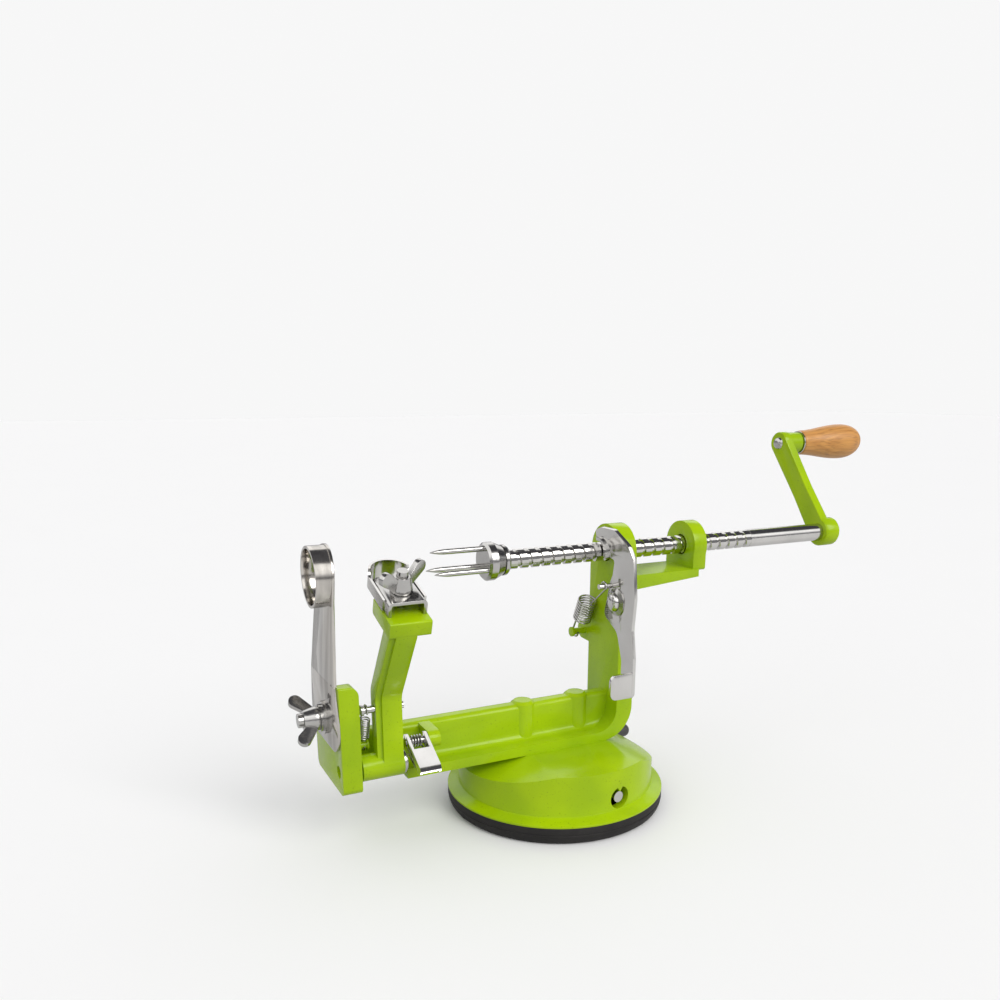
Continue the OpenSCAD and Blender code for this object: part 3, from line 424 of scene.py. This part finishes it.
class Shop:
    """Makes, dresses and seats pieces."""

    WELD = 2e-6
    FLAT = math.radians(0.4)
    HARD = math.radians(38.0)

    def __init__(self) -> None:
        """Build every finish once."""
        knob = [sum(c) / 2 for c in zip(*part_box("knob"))]
        self.finish: dict[Slot, bpy.types.Material] = {
            Slot.PAINT: GlossPaint().build(), Slot.CHROME: BrightChrome().build(),
            Slot.STEEL: PlatedSteel().build(), Slot.RUBBER: FootRubber().build(),
            Slot.GRIP: GripPlastic().build(), Slot.WOOD: TurnedWood(centre=tuple(knob)).build()}
        self.slots = {row["node"]: Slot(row["material_slot"]) for row in frame["record"]["subparts"]}

    def dress(self, *nodes: str) -> None:
        """Give CAD nodes their finishes.

        Args:
            nodes: the nodes' names.
        """
        for node in nodes:
            mesh = frame["nodes"][node].data
            mesh.materials.clear()
            mesh.materials.append(self.finish[self.slots[node]])
            LOG.info("dressed %s", node)

    def piece(self, name: str, mesh: bpy.types.Mesh, slot: Slot) -> bpy.types.Object:
        """Put a mesh in the scene with its finish.

        Args:
            name: the piece's name.
            mesh: its mesh, in place.
            slot: the finish.

        Returns:
            The new object.
        """
        obj = bpy.data.objects.new(name, mesh)
        bpy.context.scene.collection.objects.link(obj)
        mesh.materials.clear()
        mesh.materials.append(self.finish[slot])
        return obj

    def seat(self, obj: bpy.types.Object, body: str, nodes: Iterable[str]) -> bpy.types.Object:
        """Let a piece ride on a body in place of CAD nodes.

        Args:
            obj: the piece.
            body: the body that it rides on.
            nodes: the CAD nodes that it replaces.

        Returns:
            The piece.
        """
        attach(obj, body)
        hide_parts(*nodes)
        LOG.info("piece %s on %s", obj.name, body)
        return obj

    def stretch(self, name: str, mesh: bpy.types.Mesh, body: str, node: str, start: Point, end: Point) -> None:
        """Put a steel spring in the scene, fixed where it lies, in place of a CAD spring.

        Args:
            name: the spring's name.
            mesh: its mesh, at rest.
            body: the body at its far end.
            node: the CAD spring that it replaces.
            start: the end on the frame, in mm; not used.
            end: the end on the body, in mm; not used.
        """
        obj = self.piece(name, mesh, Slot.STEEL)
        tuple(c * MM for c in start)
        tuple(c * MM for c in end)
        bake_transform(obj)
        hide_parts(node)
        LOG.info("piece %s between frame and %s", obj.name, body)

    @staticmethod
    def smooth(mesh: bpy.types.Mesh, angle: float) -> bpy.types.Mesh:
        """Shade smooth, sharp past an angle in degrees.

        Args:
            mesh: the mesh, changed in place.
            angle: edges sharper than this stay sharp, in degrees.

        Returns:
            The same mesh.
        """
        mesh.polygons.foreach_set("use_smooth", [True] * len(mesh.polygons))
        mesh.set_sharp_from_angle(angle=math.radians(angle))
        return mesh

    @staticmethod
    def baked(obj: bpy.types.Object) -> bpy.types.Mesh:
        """Apply an object's modifiers to a plain mesh and remove the object.

        Args:
            obj: the object with the modifiers.

        Returns:
            The plain mesh.
        """
        deps = bpy.context.evaluated_depsgraph_get()
        deps.update()
        mesh = bpy.data.meshes.new_from_object(obj.evaluated_get(deps))
        bpy.data.objects.remove(obj)
        return mesh

    def softened(self, node: str, body: str, width: float, segments: int = 3) -> bpy.types.Object:
        """Copy a CAD node with its hard edges rounded.

        Args:
            node: the CAD node.
            body: the body that it rides on.
            width: edge radius in metres.
            segments: cuts round an edge.

        Returns:
            The piece that replaces the node.
        """
        slot = self.slots[node]
        mesh = frame["nodes"][node].data.copy()
        bm = bmesh.new()
        bm.from_mesh(mesh)
        bmesh.ops.remove_doubles(bm, verts=bm.verts, dist=self.WELD)
        bmesh.ops.dissolve_limit(bm, angle_limit=self.FLAT, verts=bm.verts, edges=bm.edges)
        bm.to_mesh(mesh)
        bm.free()
        obj = self.piece(node + "_soft", mesh, slot)
        edge = obj.modifiers.new("edge", "BEVEL")
        edge.width = width
        edge.segments = segments
        edge.limit_method = "ANGLE"
        edge.angle_limit = self.HARD
        edge.use_clamp_overlap = True
        edge.harden_normals = False
        result = self.smooth(self.baked(obj), 34.0)
        result.name = node + "_soft"
        return self.seat(self.piece(node + "_piece", result, slot), body, [node])


def mesh_of(name: str, verts: Sequence[Point], faces: Sequence[Sequence[int]]) -> bpy.types.Mesh:
    """Make a mesh with its faces turned outwards.

    Args:
        name: the mesh's name.
        verts: points in metres.
        faces: corner numbers.

    Returns:
        The mesh.
    """
    mesh = bpy.data.meshes.new(name)
    mesh.from_pydata(verts, [], faces)
    bm = bmesh.new()
    bm.from_mesh(mesh)
    bmesh.ops.remove_doubles(bm, verts=bm.verts, dist=1e-7)
    bmesh.ops.recalc_face_normals(bm, faces=bm.faces)
    bm.to_mesh(mesh)
    bm.free()
    return mesh


def rings_of(rows: int, sides: int) -> list[list[int]]:
    """Faces between rows of points, each row closed to a ring.

    Args:
        rows: number of rows.
        sides: points in a row.

    Returns:
        Corner numbers of the faces.
    """
    faces: list[list[int]] = []
    for i in range(rows - 1):
        for k in range(sides):
            n = (k + 1) % sides
            faces.append([i * sides + k, i * sides + n, (i + 1) * sides + n, (i + 1) * sides + k])
    return faces


def turned(name: str, profile: Sequence[Pair], place: Matrix, steps: int = 96) -> bpy.types.Mesh:
    """Turn a profile round local Z.

    Args:
        name: the mesh's name.
        profile: radius and height in mm, from pole to pole.
        place: where local Z goes, in metres.
        steps: cuts round the axis.

    Returns:
        The turned mesh.
    """
    verts: list[Point] = []
    for r, z in profile:
        for k in range(steps):
            a = 2 * math.pi * k / steps
            verts.append(tuple(place @ Vector((r * MM * math.cos(a), r * MM * math.sin(a), z * MM))))
    return Shop.smooth(mesh_of(name, verts, rings_of(len(profile), steps)), 40.0)


def wire(name: str, path: Sequence[Vector], diameter: float, sides: int = 12) -> bpy.types.Mesh:
    """Sweep a round wire along a path.

    Args:
        name: the mesh's name.
        path: points in mm.
        diameter: of the wire, in mm.
        sides: cuts round the wire.

    Returns:
        The wire's mesh, closed at both ends.
    """
    verts: list[Point] = []
    n = len(path)
    normal = Vector((1, 0, 0))
    for i, p in enumerate(path):
        t = (path[min(i + 1, n - 1)] - path[max(i - 1, 0)]).normalized()
        normal = (normal - normal.dot(t) * t)
        if normal.length < 1e-4:
            normal = t.orthogonal()
        normal.normalize()
        side = t.cross(normal)
        for k in range(sides):
            a = 2 * math.pi * k / sides
            verts.append(tuple((p + diameter / 2 * (math.cos(a) * normal + math.sin(a) * side)) * MM))
    faces = rings_of(n, sides) + [list(range(sides)), list(range((n - 1) * sides, n * sides))]
    return Shop.smooth(mesh_of(name, verts, faces), 50.0)


@dataclass(frozen=True)
class HookSpring:
    """Extension spring with a hook at each end, in one plane across X; lengths in mm, points as (y, z)."""

    x: float
    lower: Vector
    upper: Vector
    start: Vector
    lean: Vector
    turns: int
    step: float
    coil_r: float
    lower_r: float
    upper_r: float
    wire_d: float
    side: int
    bend: float = 0.9
    cut: int = 15
    bend_cut: int = 10

    def hook(self, first: int) -> list[Pair]:
        """Directions round half a hook, from an angle in degrees on."""
        angles = [math.radians(first + self.cut * i) for i in range(180 // self.cut + 1)]
        return [(math.cos(a), math.sin(a)) for a in angles]

    def corner(self, degrees: int) -> Point:
        """A point of the bend from hook to coil.

        Args:
            degrees: how far round the bend.

        Returns:
            Distances outwards, across and along the axis, in mm.
        """
        a = math.radians(degrees)
        across = self.bend * (1 - math.cos(a))
        return math.sqrt(self.coil_r ** 2 - across ** 2), across, self.bend * math.sin(a) - self.bend

    def path(self) -> list[Vector]:
        """Follow the wire from the lower hook's tip to the upper hook's tip.

        Returns:
            Points in mm.
        """
        r, d, side = self.coil_r, self.wire_d, self.side
        across = Vector((self.lean.y, -self.lean.x))
        low, high = ((p.dot(across), p.dot(self.lean)) for p in (self.lower - self.start, self.upper - self.start))
        first = math.degrees(math.asin(self.bend / r))
        last = 360 * self.turns + (180 if side < 0 else 0) - first
        rise = self.step * (last - first) / 360
        cuts = math.ceil((last - first) / self.cut)
        local: list[Point] = [(low[0] - self.lower_r, 0, low[1] + k * d) for k in (1, 0.5)]
        local += [(low[0] + self.lower_r * c, 0, low[1] + self.lower_r * s) for c, s in self.hook(180)]
        local += [self.corner(a) for a in range(0, 90, self.bend_cut)]
        for i in range(cuts + 1):
            t = math.radians(first + (last - first) * i / cuts)
            local.append((r * math.cos(t), r * math.sin(t), rise * i / cuts))
        for a in range(90 - self.bend_cut, -1, -self.bend_cut):
            u, v, w = self.corner(a)
            local.append((side * u, -side * v, rise - w))
        local += [(high[0] + side * self.upper_r * c, 0, high[1] + self.upper_r * s) for c, s in self.hook(0)]
        local += [(high[0] - side * self.upper_r, 0, high[1] - k * d) for k in (0.5, 1)]
        return [Vector((self.x + v, *(self.start + u * across + w * self.lean))) for u, v, w in local]


@dataclass
class Repeated:
    """One mesh repeated round a circle by Geometry Nodes."""

    name: str
    count: int
    radius: float

    def tree(self, material: bpy.types.Material, source: bpy.types.Object) -> tuple[bpy.types.NodeTree, dict[str, str]]:
        """Build the node tree.

        Args:
            material: the finish of the copies.
            source: the object that is repeated.

        Returns:
            The tree and its inputs' identifiers by name.
        """
        tree = bpy.data.node_groups.new(self.name + "_nodes", "GeometryNodeTree")
        ids = {}
        for label, kind in (("Count", "NodeSocketInt"), ("Radius", "NodeSocketFloat")):
            ids[label] = tree.interface.new_socket(label, in_out="INPUT", socket_type=kind).identifier
        tree.interface.new_socket("Geometry", in_out="OUTPUT", socket_type="NodeSocketGeometry")
        g = Graph(tree)
        count, radius = (g.node("NodeGroupInput", {}, {}, out=label) for label in ids)
        ring = g.node("GeometryNodeMeshCircle", {}, {"Vertices": count, "Radius": radius})
        one = g.node("GeometryNodeObjectInfo", {}, {"Object": source, "As Instance": True}, out="Geometry")
        copies = g.node("GeometryNodeInstanceOnPoints", {}, {"Points": ring, "Instance": one})
        real = g.node("GeometryNodeRealizeInstances", {}, {"Geometry": copies})
        skin = g.node("GeometryNodeSetMaterial", {}, {"Geometry": real, "Material": material})
        g.close("NodeGroupOutput", "Geometry", skin)
        return tree, ids

    def bake(self, shop: Shop, mesh: bpy.types.Mesh, slot: Slot, place: Matrix) -> bpy.types.Mesh:
        """Repeat a mesh and return the copies as one plain mesh.

        Args:
            shop: gives the finish.
            mesh: the shape that is repeated.
            slot: its finish.
            place: where the circle goes.

        Returns:
            The copies, in place.
        """
        source = shop.piece(self.name + "_one", mesh, slot)
        holder = bpy.data.objects.new(self.name + "_all", bpy.data.meshes.new(self.name + "_all"))
        bpy.context.scene.collection.objects.link(holder)
        tree, ids = self.tree(shop.finish[slot], source)
        mod = holder.modifiers.new("repeat", "NODES")
        mod.node_group = tree
        mod[ids["Count"]] = self.count
        mod[ids["Radius"]] = self.radius
        result = shop.baked(holder)
        bpy.data.objects.remove(source)
        result.transform(place)
        return result


def offsets(radius: float, height: float, rows: Iterable[Pair]) -> list[Pair]:
    """Profile points given as insets from a radius and rises from a height."""
    return [(radius - inset, height + up) for inset, up in rows]


@dataclass
class SuctionBase:
    """Housing, rubber foot, cam and suction lever; lengths in mm, the edge in metres."""

    foot_r: float = 50.0
    foot_h: float = 8.0
    foot_bore: float = 17.0
    foot_floor: float = 4.0
    lever_len: float = 60.0
    lever_rest: float = 10.0
    lever_dip: float = 92.0
    cam: Pair = (17.0, 16.0)
    grip_len: float = 16.0
    grip_r: float = 3.4
    grip_cap: float = 2.8
    rod_r: float = 2.54
    rod_play: float = 0.05
    edge: float = 0.0011
    lip: tuple[Pair, ...] = ((3.2, 0.0), (2.0, 0.22), (1.1, 0.9), (0.55, 1.9), (0.2, 3.0), (0.05, 3.9), (0.0, 4.3),
                             (0.22, 4.5), (0.22, 4.8), (0.0, 5.0))
    lip_top: tuple[Pair, ...] = ((0.0, -0.5), (0.15, -0.12), (0.5, 0.0), (6.0, 0.0))
    mouth: tuple[Pair, ...] = ((0.9, 0.0), (0.3, 0.25), (0.05, 0.8), (0.0, 1.6), (0.25, 2.2))
    dome: tuple[Pair, ...] = ((0.12, -6.0), (0.0, -2.0), (0.06, 0.2), (0.35, 1.1), (0.95, 1.9), (1.8, 2.5), (2.7, 2.75))

    def foot(self, shop: Shop) -> None:
        """Turn the rubber foot with its rolled lip and mould line.

        Args:
            shop: makes and seats the pieces.
        """
        r, h, bore, floor = self.foot_r, self.foot_h, self.foot_bore, self.foot_floor
        profile = [(0.0, 0.0), (20.0, 0.0), (38.0, 0.0)] + offsets(r, 0.0, self.lip) + offsets(r, h, self.lip_top)
        profile += [(bore, h), (bore, floor), (0.0, floor)]
        obj = shop.piece("rubber_foot", turned("rubber_foot", profile, Matrix.Identity(4), 160), Slot.RUBBER)
        shop.seat(obj, "frame", ["suction_cup"])

    def grip(self, shop: Shop) -> None:
        """Turn the lever's sleeve with a rolled mouth and a round end.

        Args:
            shop: makes and seats the pieces.
        """
        end, start, rod = self.lever_len, self.lever_len - self.grip_len, self.rod_r
        profile = [(rod, start)] + offsets(self.grip_r, start, self.mouth) + offsets(self.grip_r, end, self.dome)
        profile += [(0.0, end + self.grip_cap), (0.0, end + self.rod_play), (rod, end + self.rod_play), (rod, start)]
        place = (Matrix.Rotation(math.radians(self.lever_rest), 4, "Z")
                 @ Matrix.Translation((0, self.cam[0] * MM, self.cam[1] * MM))
                 @ Matrix.Rotation(math.radians(self.lever_dip), 4, "Y"))
        obj = shop.piece("lever_sleeve", turned("lever_sleeve", profile, place, 48), Slot.GRIP)
        shop.seat(obj, "suction_lever", ["lever_grip"])

    def build(self, shop: Shop) -> None:
        """Make and dress the base.

        Args:
            shop: makes and seats the pieces.
        """
        shop.softened("base_housing", "frame", self.edge, 4)
        self.foot(shop)
        self.grip(shop)
        shop.dress("base_screws", "cup_stem", "cam_shaft", "suction_lever")


@dataclass
class Casting:
    """The painted casting and the pins set in it."""

    edge: float = 0.0009
    pins: tuple[str, ...] = ("lever_rivet", "arm_pivot_pin", "arm_washer", "arm_clip", "latch_pin")

    def build(self, shop: Shop) -> None:
        """Round the casting's edges and dress its pins."""
        shop.softened("frame_casting", "frame", self.edge, 3)
        shop.dress(*self.pins)


@dataclass
class WormFeed:
    """Worm shaft, collar and fork; lengths in mm."""

    hub_x: float = -36.0
    axis_z: float = 115.0
    tine_len: float = 24.0
    tine_r: float = 1.2
    tine_root: float = 1.6
    ring: float = 5.6
    taper: tuple[Pair, ...] = ((1.0, -6.0), (0.96, -4.2), (0.8, -2.4), (0.55, -0.6), (0.28, 0.9))
    tip: tuple[Pair, ...] = ((0.1, 1.5), (0.0, 1.6))

    def tines(self, shop: Shop) -> None:
        """Repeat one ground tine three times round the fork's hub.

        Args:
            shop: makes and seats the pieces.
        """
        end, r = self.tine_len, self.tine_r
        profile = [(0.0, 0.0), (r, 0.0), (r, self.tine_root)] + [(r * k, end + up) for k, up in self.taper]
        profile += [(k, end + up) for k, up in self.tip]
        one = turned("tine", profile, Matrix.Identity(4), 24)
        place = Matrix(((0, 0, -1, (self.hub_x + self.tine_root) * MM), (0, 1, 0, 0),
                        (1, 0, 0, self.axis_z * MM), (0, 0, 0, 1)))
        mesh = Repeated("fork_tines", 3, self.ring * MM).bake(shop, one, Slot.STEEL, place)
        shop.seat(shop.piece("fork_tine_set", mesh, Slot.STEEL), "shaft", ["fork_tines"])

    def build(self, shop: Shop) -> None:
        """Dress the shaft and make the tines."""
        shop.dress("worm_shaft", "fork_collar", "fork_hub")
        self.tines(shop)


@dataclass
class Crank:
    """Crank arm, its pin and the wooden knob; lengths in mm, the edge in metres."""

    throw: float = 54.0
    rest: float = 51.9
    axis_z: float = 115.0
    knob_x: float = 165.0
    length: float = 42.5
    neck: float = 6.3
    belly: float = 9.08
    swell: float = 0.66
    fall: float = 2.4
    bore: float = 2.38
    wall: float = 6.2
    steps: int = 72
    edge: float = 0.0007
    mouth: tuple[Pair, ...] = ((1.0, 0.0), (0.45, 0.12), (0.12, 0.5))

    def radius(self, t: float) -> float:
        """The knob's radius at a part of its length.

        Args:
            t: the part, from 0 to 1.

        Returns:
            The radius in mm.
        """
        if t < self.swell:
            return self.neck + (self.belly - self.neck) * (1 - math.cos(math.pi * t / self.swell)) / 2
        return self.belly * math.sqrt(1 - ((t - self.swell) / (1 - self.swell)) ** self.fall)

    def knob(self, shop: Shop) -> None:
        """Turn the knob with a chamfered mouth, a swelling body and a round end.

        Args:
            shop: makes and seats the pieces.
        """
        end, back = self.length, self.length - self.wall
        profile = [(self.bore, 0.0)] + offsets(self.neck, 0.0, self.mouth)
        profile += [(self.radius(i / self.steps), end * (i / self.steps)) for i in range(2, self.steps)]
        profile += [(1.2, end * 0.998), (0.0, end), (0.0, back), (self.bore, back), (self.bore, 0.0)]
        a = math.radians(self.rest)
        centre = (self.knob_x, self.throw * math.cos(a), self.axis_z + self.throw * math.sin(a))
        place = Matrix.Translation([c * MM for c in centre]) @ Matrix.Rotation(math.pi / 2, 4, "Y")
        obj = shop.piece("turned_knob", turned("turned_knob", profile, place, 96), Slot.WOOD)
        shop.seat(obj, "knob", ["knob"])

    def build(self, shop: Shop) -> None:
        """Round the arm's edges, turn the knob and dress the pin.

        Args:
            shop: makes and seats the pieces.
        """
        shop.softened("crank_arm", "shaft", self.edge, 3)
        self.knob(shop)
        shop.dress("knob_pin", "knob_washer")


@dataclass
class ReleaseLever:
    """Pressed lever with the half nut, and its spring; lengths in mm, the edge in metres."""

    spring_x: float = 20.0
    peg: Pair = (17.0, 74.0)
    peg_r: float = 1.9
    ear: Pair = (-7.2, 100.5)
    ear_r: float = 1.5
    coil_from: Pair = (-5.5, 7.0)
    wire_d: float = 0.9
    coil_r: float = 4.0
    coils: int = 8
    gap: float = 0.5
    lean: float = 24.8
    edge: float = 0.0003

    def spring(self, shop: Shop) -> None:
        """Wind the lever's spring from the post's peg to the lever's ear.

        Args:
            shop: makes and seats the pieces.
        """
        x, d, a = self.spring_x, self.wire_d, math.radians(self.lean)
        coil = HookSpring(x, Vector(self.peg), Vector(self.ear), Vector(self.peg) + Vector(self.coil_from),
                          Vector((-math.sin(a), math.cos(a))), self.coils, d + self.gap, self.coil_r,
                          self.peg_r + d / 2, self.ear_r + d / 2, d, -1)
        shop.stretch("lever_coil", wire("lever_coil", coil.path(), d), "release_lever", "lever_spring",
                     (x, *self.peg), (x, *self.ear))

    def build(self, shop: Shop) -> None:
        """Round the plate's edges and wind the spring.

        Args:
            shop: makes and seats the pieces.
        """
        shop.softened("release_lever", "release_lever", self.edge, 2)
        shop.dress("lever_washer")
        self.spring(shop)


@dataclass
class PeelArm:
    """Peeling arm with bracket, looped blade and spring; lengths in mm, edges in metres."""

    spring_x: float = -94.5
    nub: Pair = (-9.5, 46.0)
    cross: Pair = (-15.5, 63.0)
    hook_r: float = 1.8
    wire_d: float = 0.65
    coil_r: float = 1.85
    coils: int = 9
    gap: float = 0.5
    edge: float = 0.0009
    sheet_edge: float = 0.00025
    nut_edge: float = 0.0005

    def spring(self, shop: Shop) -> None:
        """Wind the arm's spring from the post's peg to the arm's cross pin.

        Args:
            shop: makes and seats the pieces.
        """
        x, d, nub, pin = self.spring_x, self.wire_d, Vector(self.nub), Vector(self.cross)
        step, hook_r = d + self.gap, self.hook_r + d / 2
        lean = (pin - nub).normalized()
        start = nub + lean * ((pin - nub).length - self.coils * step) / 2
        coil = HookSpring(x, nub, pin, start, lean, self.coils, step, self.coil_r, hook_r, hook_r, d, 1)
        shop.stretch("arm_coil", wire("arm_coil", coil.path(), d), "peel_arm", "arm_spring",
                     (x, *self.nub), (x, *self.cross))

    def build(self, shop: Shop) -> None:
        """Round the arm's edges, dress its metal and wind the spring.

        Args:
            shop: makes and seats the pieces.
        """
        shop.softened("peel_arm", "peel_arm", self.edge, 3)
        shop.softened("blade_bracket", "peel_arm", self.sheet_edge, 2)
        shop.softened("blade_wing_nut", "blade_nut", self.nut_edge, 3)
        shop.dress("spring_pin", "peel_blade", "blade_stud")
        self.spring(shop)


@dataclass
class Latch:
    """Thumb latch with its torsion spring; lengths in mm, the edge in metres."""

    cheek_x: float = -77.5
    width: float = 7.0
    sheet: float = 1.0
    centre: Pair = (-13.0, 45.3)
    tail: Pair = (-15.0, -6.6)
    tail_r: float = 1.9
    pin_r: float = 1.6
    boss: float = 1.8
    slot_end: float = 0.42
    pad_part: float = 0.35
    wire_d: float = 0.7
    coils: int = 4
    play: float = 0.4
    gap: float = 0.5
    web: float = -4.0
    clear: float = 0.3
    cut: int = 15
    edge: float = 0.00022

    def under_pad(self) -> tuple[Vector, Vector]:
        """Where the spring's leg runs under the pad and where its tip ends, as (y, z).

        Returns:
            The leg's last corner and the tip, in mm.
        """
        c = Vector(self.centre)
        big = self.pin_r + self.boss
        a = math.atan2(self.tail[1], self.tail[0]) - math.acos((big - self.tail_r) / math.hypot(*self.tail))
        out = Vector((math.cos(a), math.sin(a)))
        top, low = c + big * out, c + Vector(self.tail) + self.tail_r * out
        fold = top + (low - top) * self.slot_end
        under = fold + (low - fold) * self.pad_part - out * self.sheet
        return under - out * (self.clear + self.wire_d), under - out * self.clear

    def spring(self, shop: Shop) -> None:
        """Wind the spring round the latch's pin, one leg on the web and one under the pad.

        Args:
            shop: makes and seats the pieces.
        """
        y, height = self.centre
        r = self.pin_r + self.play + self.wire_d / 2
        pitch = self.wire_d + self.gap
        x0 = self.cheek_x + self.sheet + self.width / 2 - self.coils * pitch / 2
        x1, z, turn = x0 + self.coils * pitch, height - r, 360 // self.cut
        leg, tip = self.under_pad()
        path = [Vector((x0, at, z)) for at in (self.web - self.clear, self.web - 2.0, y + 1.0)]
        for i in range(turn * self.coils + 1):
            a = math.radians(270 - self.cut * i)
            path.append(Vector((x0 + pitch * i / turn, y + r * math.cos(a), height + r * math.sin(a))))
        path += [Vector((x1, y - 1.0, z - 0.1)), Vector((x1, leg.x + 1.4, leg.y - 0.2)),
                 Vector((x1, leg.x + 0.4, leg.y - 0.1)), Vector((x1, *leg)), Vector((x1, *tip))]
        middle = (x0 + x1) / 2
        shop.stretch("latch_coil", wire("latch_coil", path, self.wire_d), "latch", "latch_spring",
                     (middle, y - r, z), (middle, tip.x, z))

    def build(self, shop: Shop) -> None:
        """Round the latch's edges and wind its spring."""
        shop.softened("arm_latch", "latch", self.edge, 2)
        self.spring(shop)


@dataclass
class Slicer:
    """Slicer plate, bolt, washers and wing nut; edges in metres."""

    edge: float = 0.0003
    nut_edge: float = 0.0006
    # The slicer plate's strong dark vertical streaks are painted reflection over the plate's real grain.
    finish: BrightChrome = BrightChrome((0.58, 0.55, 0.51), "stamped_steel", (1.0, 1.0, 0.05), 0.75, 0.5)

    def build(self, shop: Shop) -> None:
        """Round the plate and the nut, dress the rest.

        Args:
            shop: makes and seats the pieces.
        """
        plate = shop.softened("slicer_blade", "frame", self.edge, 2)
        plate.data.materials[0] = self.finish.build()
        shop.softened("slicer_wing_nut", "slicer_nut", self.nut_edge, 3)
        shop.dress("slicer_bolt", "slicer_washers")


@dataclass
class Studio:
    """Pale floor, soft light and the photograph's camera."""

    place: Point = (-0.19094, -0.34051, 0.18487)
    down: float = 16.1
    turn: float = -26.13
    lens: float = 32.30
    shift: Pair = (-0.0086, 0.1484)
    ambient: float = 0.70
    white: float = 0.932
    bounce: float = 0.45
    behind: float = 0.66
    front: Pair = (0.05, 0.15)
    pale: tuple[Point, Point] = ((0.915, 0.915, 0.91), (0.925, 0.925, 0.92))
    half: float = 6.0
    walls: tuple[tuple[float, Point], ...] = (
        (0.0, (0.45, 0.45, 0.46)), (0.08, (0.12, 0.12, 0.13)), (0.20, (0.64, 0.64, 0.66)),
        (0.36, (1.5, 1.5, 1.5)), (0.80, (1.5, 1.5, 1.5)), (0.86, (0.10, 0.10, 0.11)))
    flag: Point = (0.07, 0.07, 0.08)

    def floor(self) -> None:
        """Lay the floor: pale to the camera, a little darker behind the part in mirrors, grey as a bounce."""
        h = self.half
        mesh = mesh_of("floor", [(-h, -h, 0), (h, -h, 0), (h, h, 0), (-h, h, 0)], [(0, 1, 2, 3)])
        obj = bpy.data.objects.new("floor", mesh)
        bpy.context.scene.collection.objects.link(obj)
        s = Shader("pale_floor")
        tone = s.noise(7.0, 2.0)
        pale = s.mix(tone, rgba(self.pale[0]), rgba(self.pale[1]))
        near = (self.front[0] - s.axis(s.coords, "Y")) / self.front[1]
        mirrored = s.mix(near, grey(self.behind), pale)
        colour = s.mix(s.ray(Ray.CAMERA), s.mix(s.ray(Ray.GLOSSY), grey(self.bounce), mirrored), pale)
        mesh.materials.append(s.surface({"Base Color": colour, "Roughness": 0.6 + tone * 0.1,
                                         "Specular IOR Level": 0.03}))

    def world(self) -> None:
        """Even light all round, white behind the part, and a studio's bright and dark walls in its mirrors."""
        s = Shader("studio", world=True)
        way = s.node("ShaderNodeTexCoord", {}, {}, out="Generated")
        right, back, up = (s.axis(way, name) for name in "XYZ")
        over = up * up / (up * up + back * back)
        dark = s.rise(over, 0.58, 0.72) * s.rise(right, 0.34, 0.44)
        walls = s.mix(dark, s.ramp(up, self.walls), rgba(self.flag))
        colour = s.mix(s.ray(Ray.GLOSSY), (self.ambient, self.ambient, self.ambient * 1.02, 1), walls)
        colour = s.mix(s.ray(Ray.CAMERA), colour, grey(self.white))
        s.close("ShaderNodeOutputWorld", "Surface", s.node("ShaderNodeBackground", {}, {"Color": colour}))
        bpy.context.scene.world = s.material

    def lamp(self, name: str, towards: Point, power: float, spread: float, tint: Point = (1, 1, 1)) -> None:
        """Light the part evenly from one side.

        Args:
            name: the lamp's name.
            towards: the light's direction.
            power: in watts per square metre.
            spread: angle of the soft source, in degrees.
            tint: its colour.
        """
        light = bpy.data.lights.new(name, "SUN")
        light.energy = power
        light.angle = math.radians(spread)
        light.color = tint
        obj = bpy.data.objects.new(name, light)
        bpy.context.scene.collection.objects.link(obj)
        obj.rotation_euler = Vector(towards).to_track_quat("-Z", "Y").to_euler()

    def camera(self) -> None:
        """Set the camera where the photograph was taken from."""
        cam = bpy.data.cameras.new("photo")
        cam.sensor_width = 36.0
        cam.lens = self.lens
        cam.shift_x, cam.shift_y = self.shift
        cam.clip_start = 0.01
        obj = bpy.data.objects.new("photo", cam)
        bpy.context.scene.collection.objects.link(obj)
        obj.location = self.place
        obj.rotation_euler = (math.radians(90 - self.down), 0, math.radians(self.turn))
        bpy.context.scene.camera = obj

    def build(self) -> None:
        """Set the whole studio."""
        bpy.context.scene.view_settings.view_transform = "Standard"
        self.floor()
        self.world()
        self.lamp("key", (-0.3, 0.9, -0.7), 1.42, 35.0, (1.0, 0.99, 0.97))
        self.lamp("fill", (0.7, 0.5, -0.9), 0.25, 50.0)
        self.camera()


def main() -> None:
    """Build every sub-assembly in order, then the studio."""
    logging.basicConfig(level=logging.INFO, format="%(name)s %(message)s")
    shop = Shop()
    for unit in (SuctionBase(), Casting(), WormFeed(), Crank(), ReleaseLever(), PeelArm(), Latch(), Slicer()):
        unit.build(shop)
        LOG.info("built %s", type(unit).__name__)
    Studio().build()


if __name__ == "__main__":
    main()
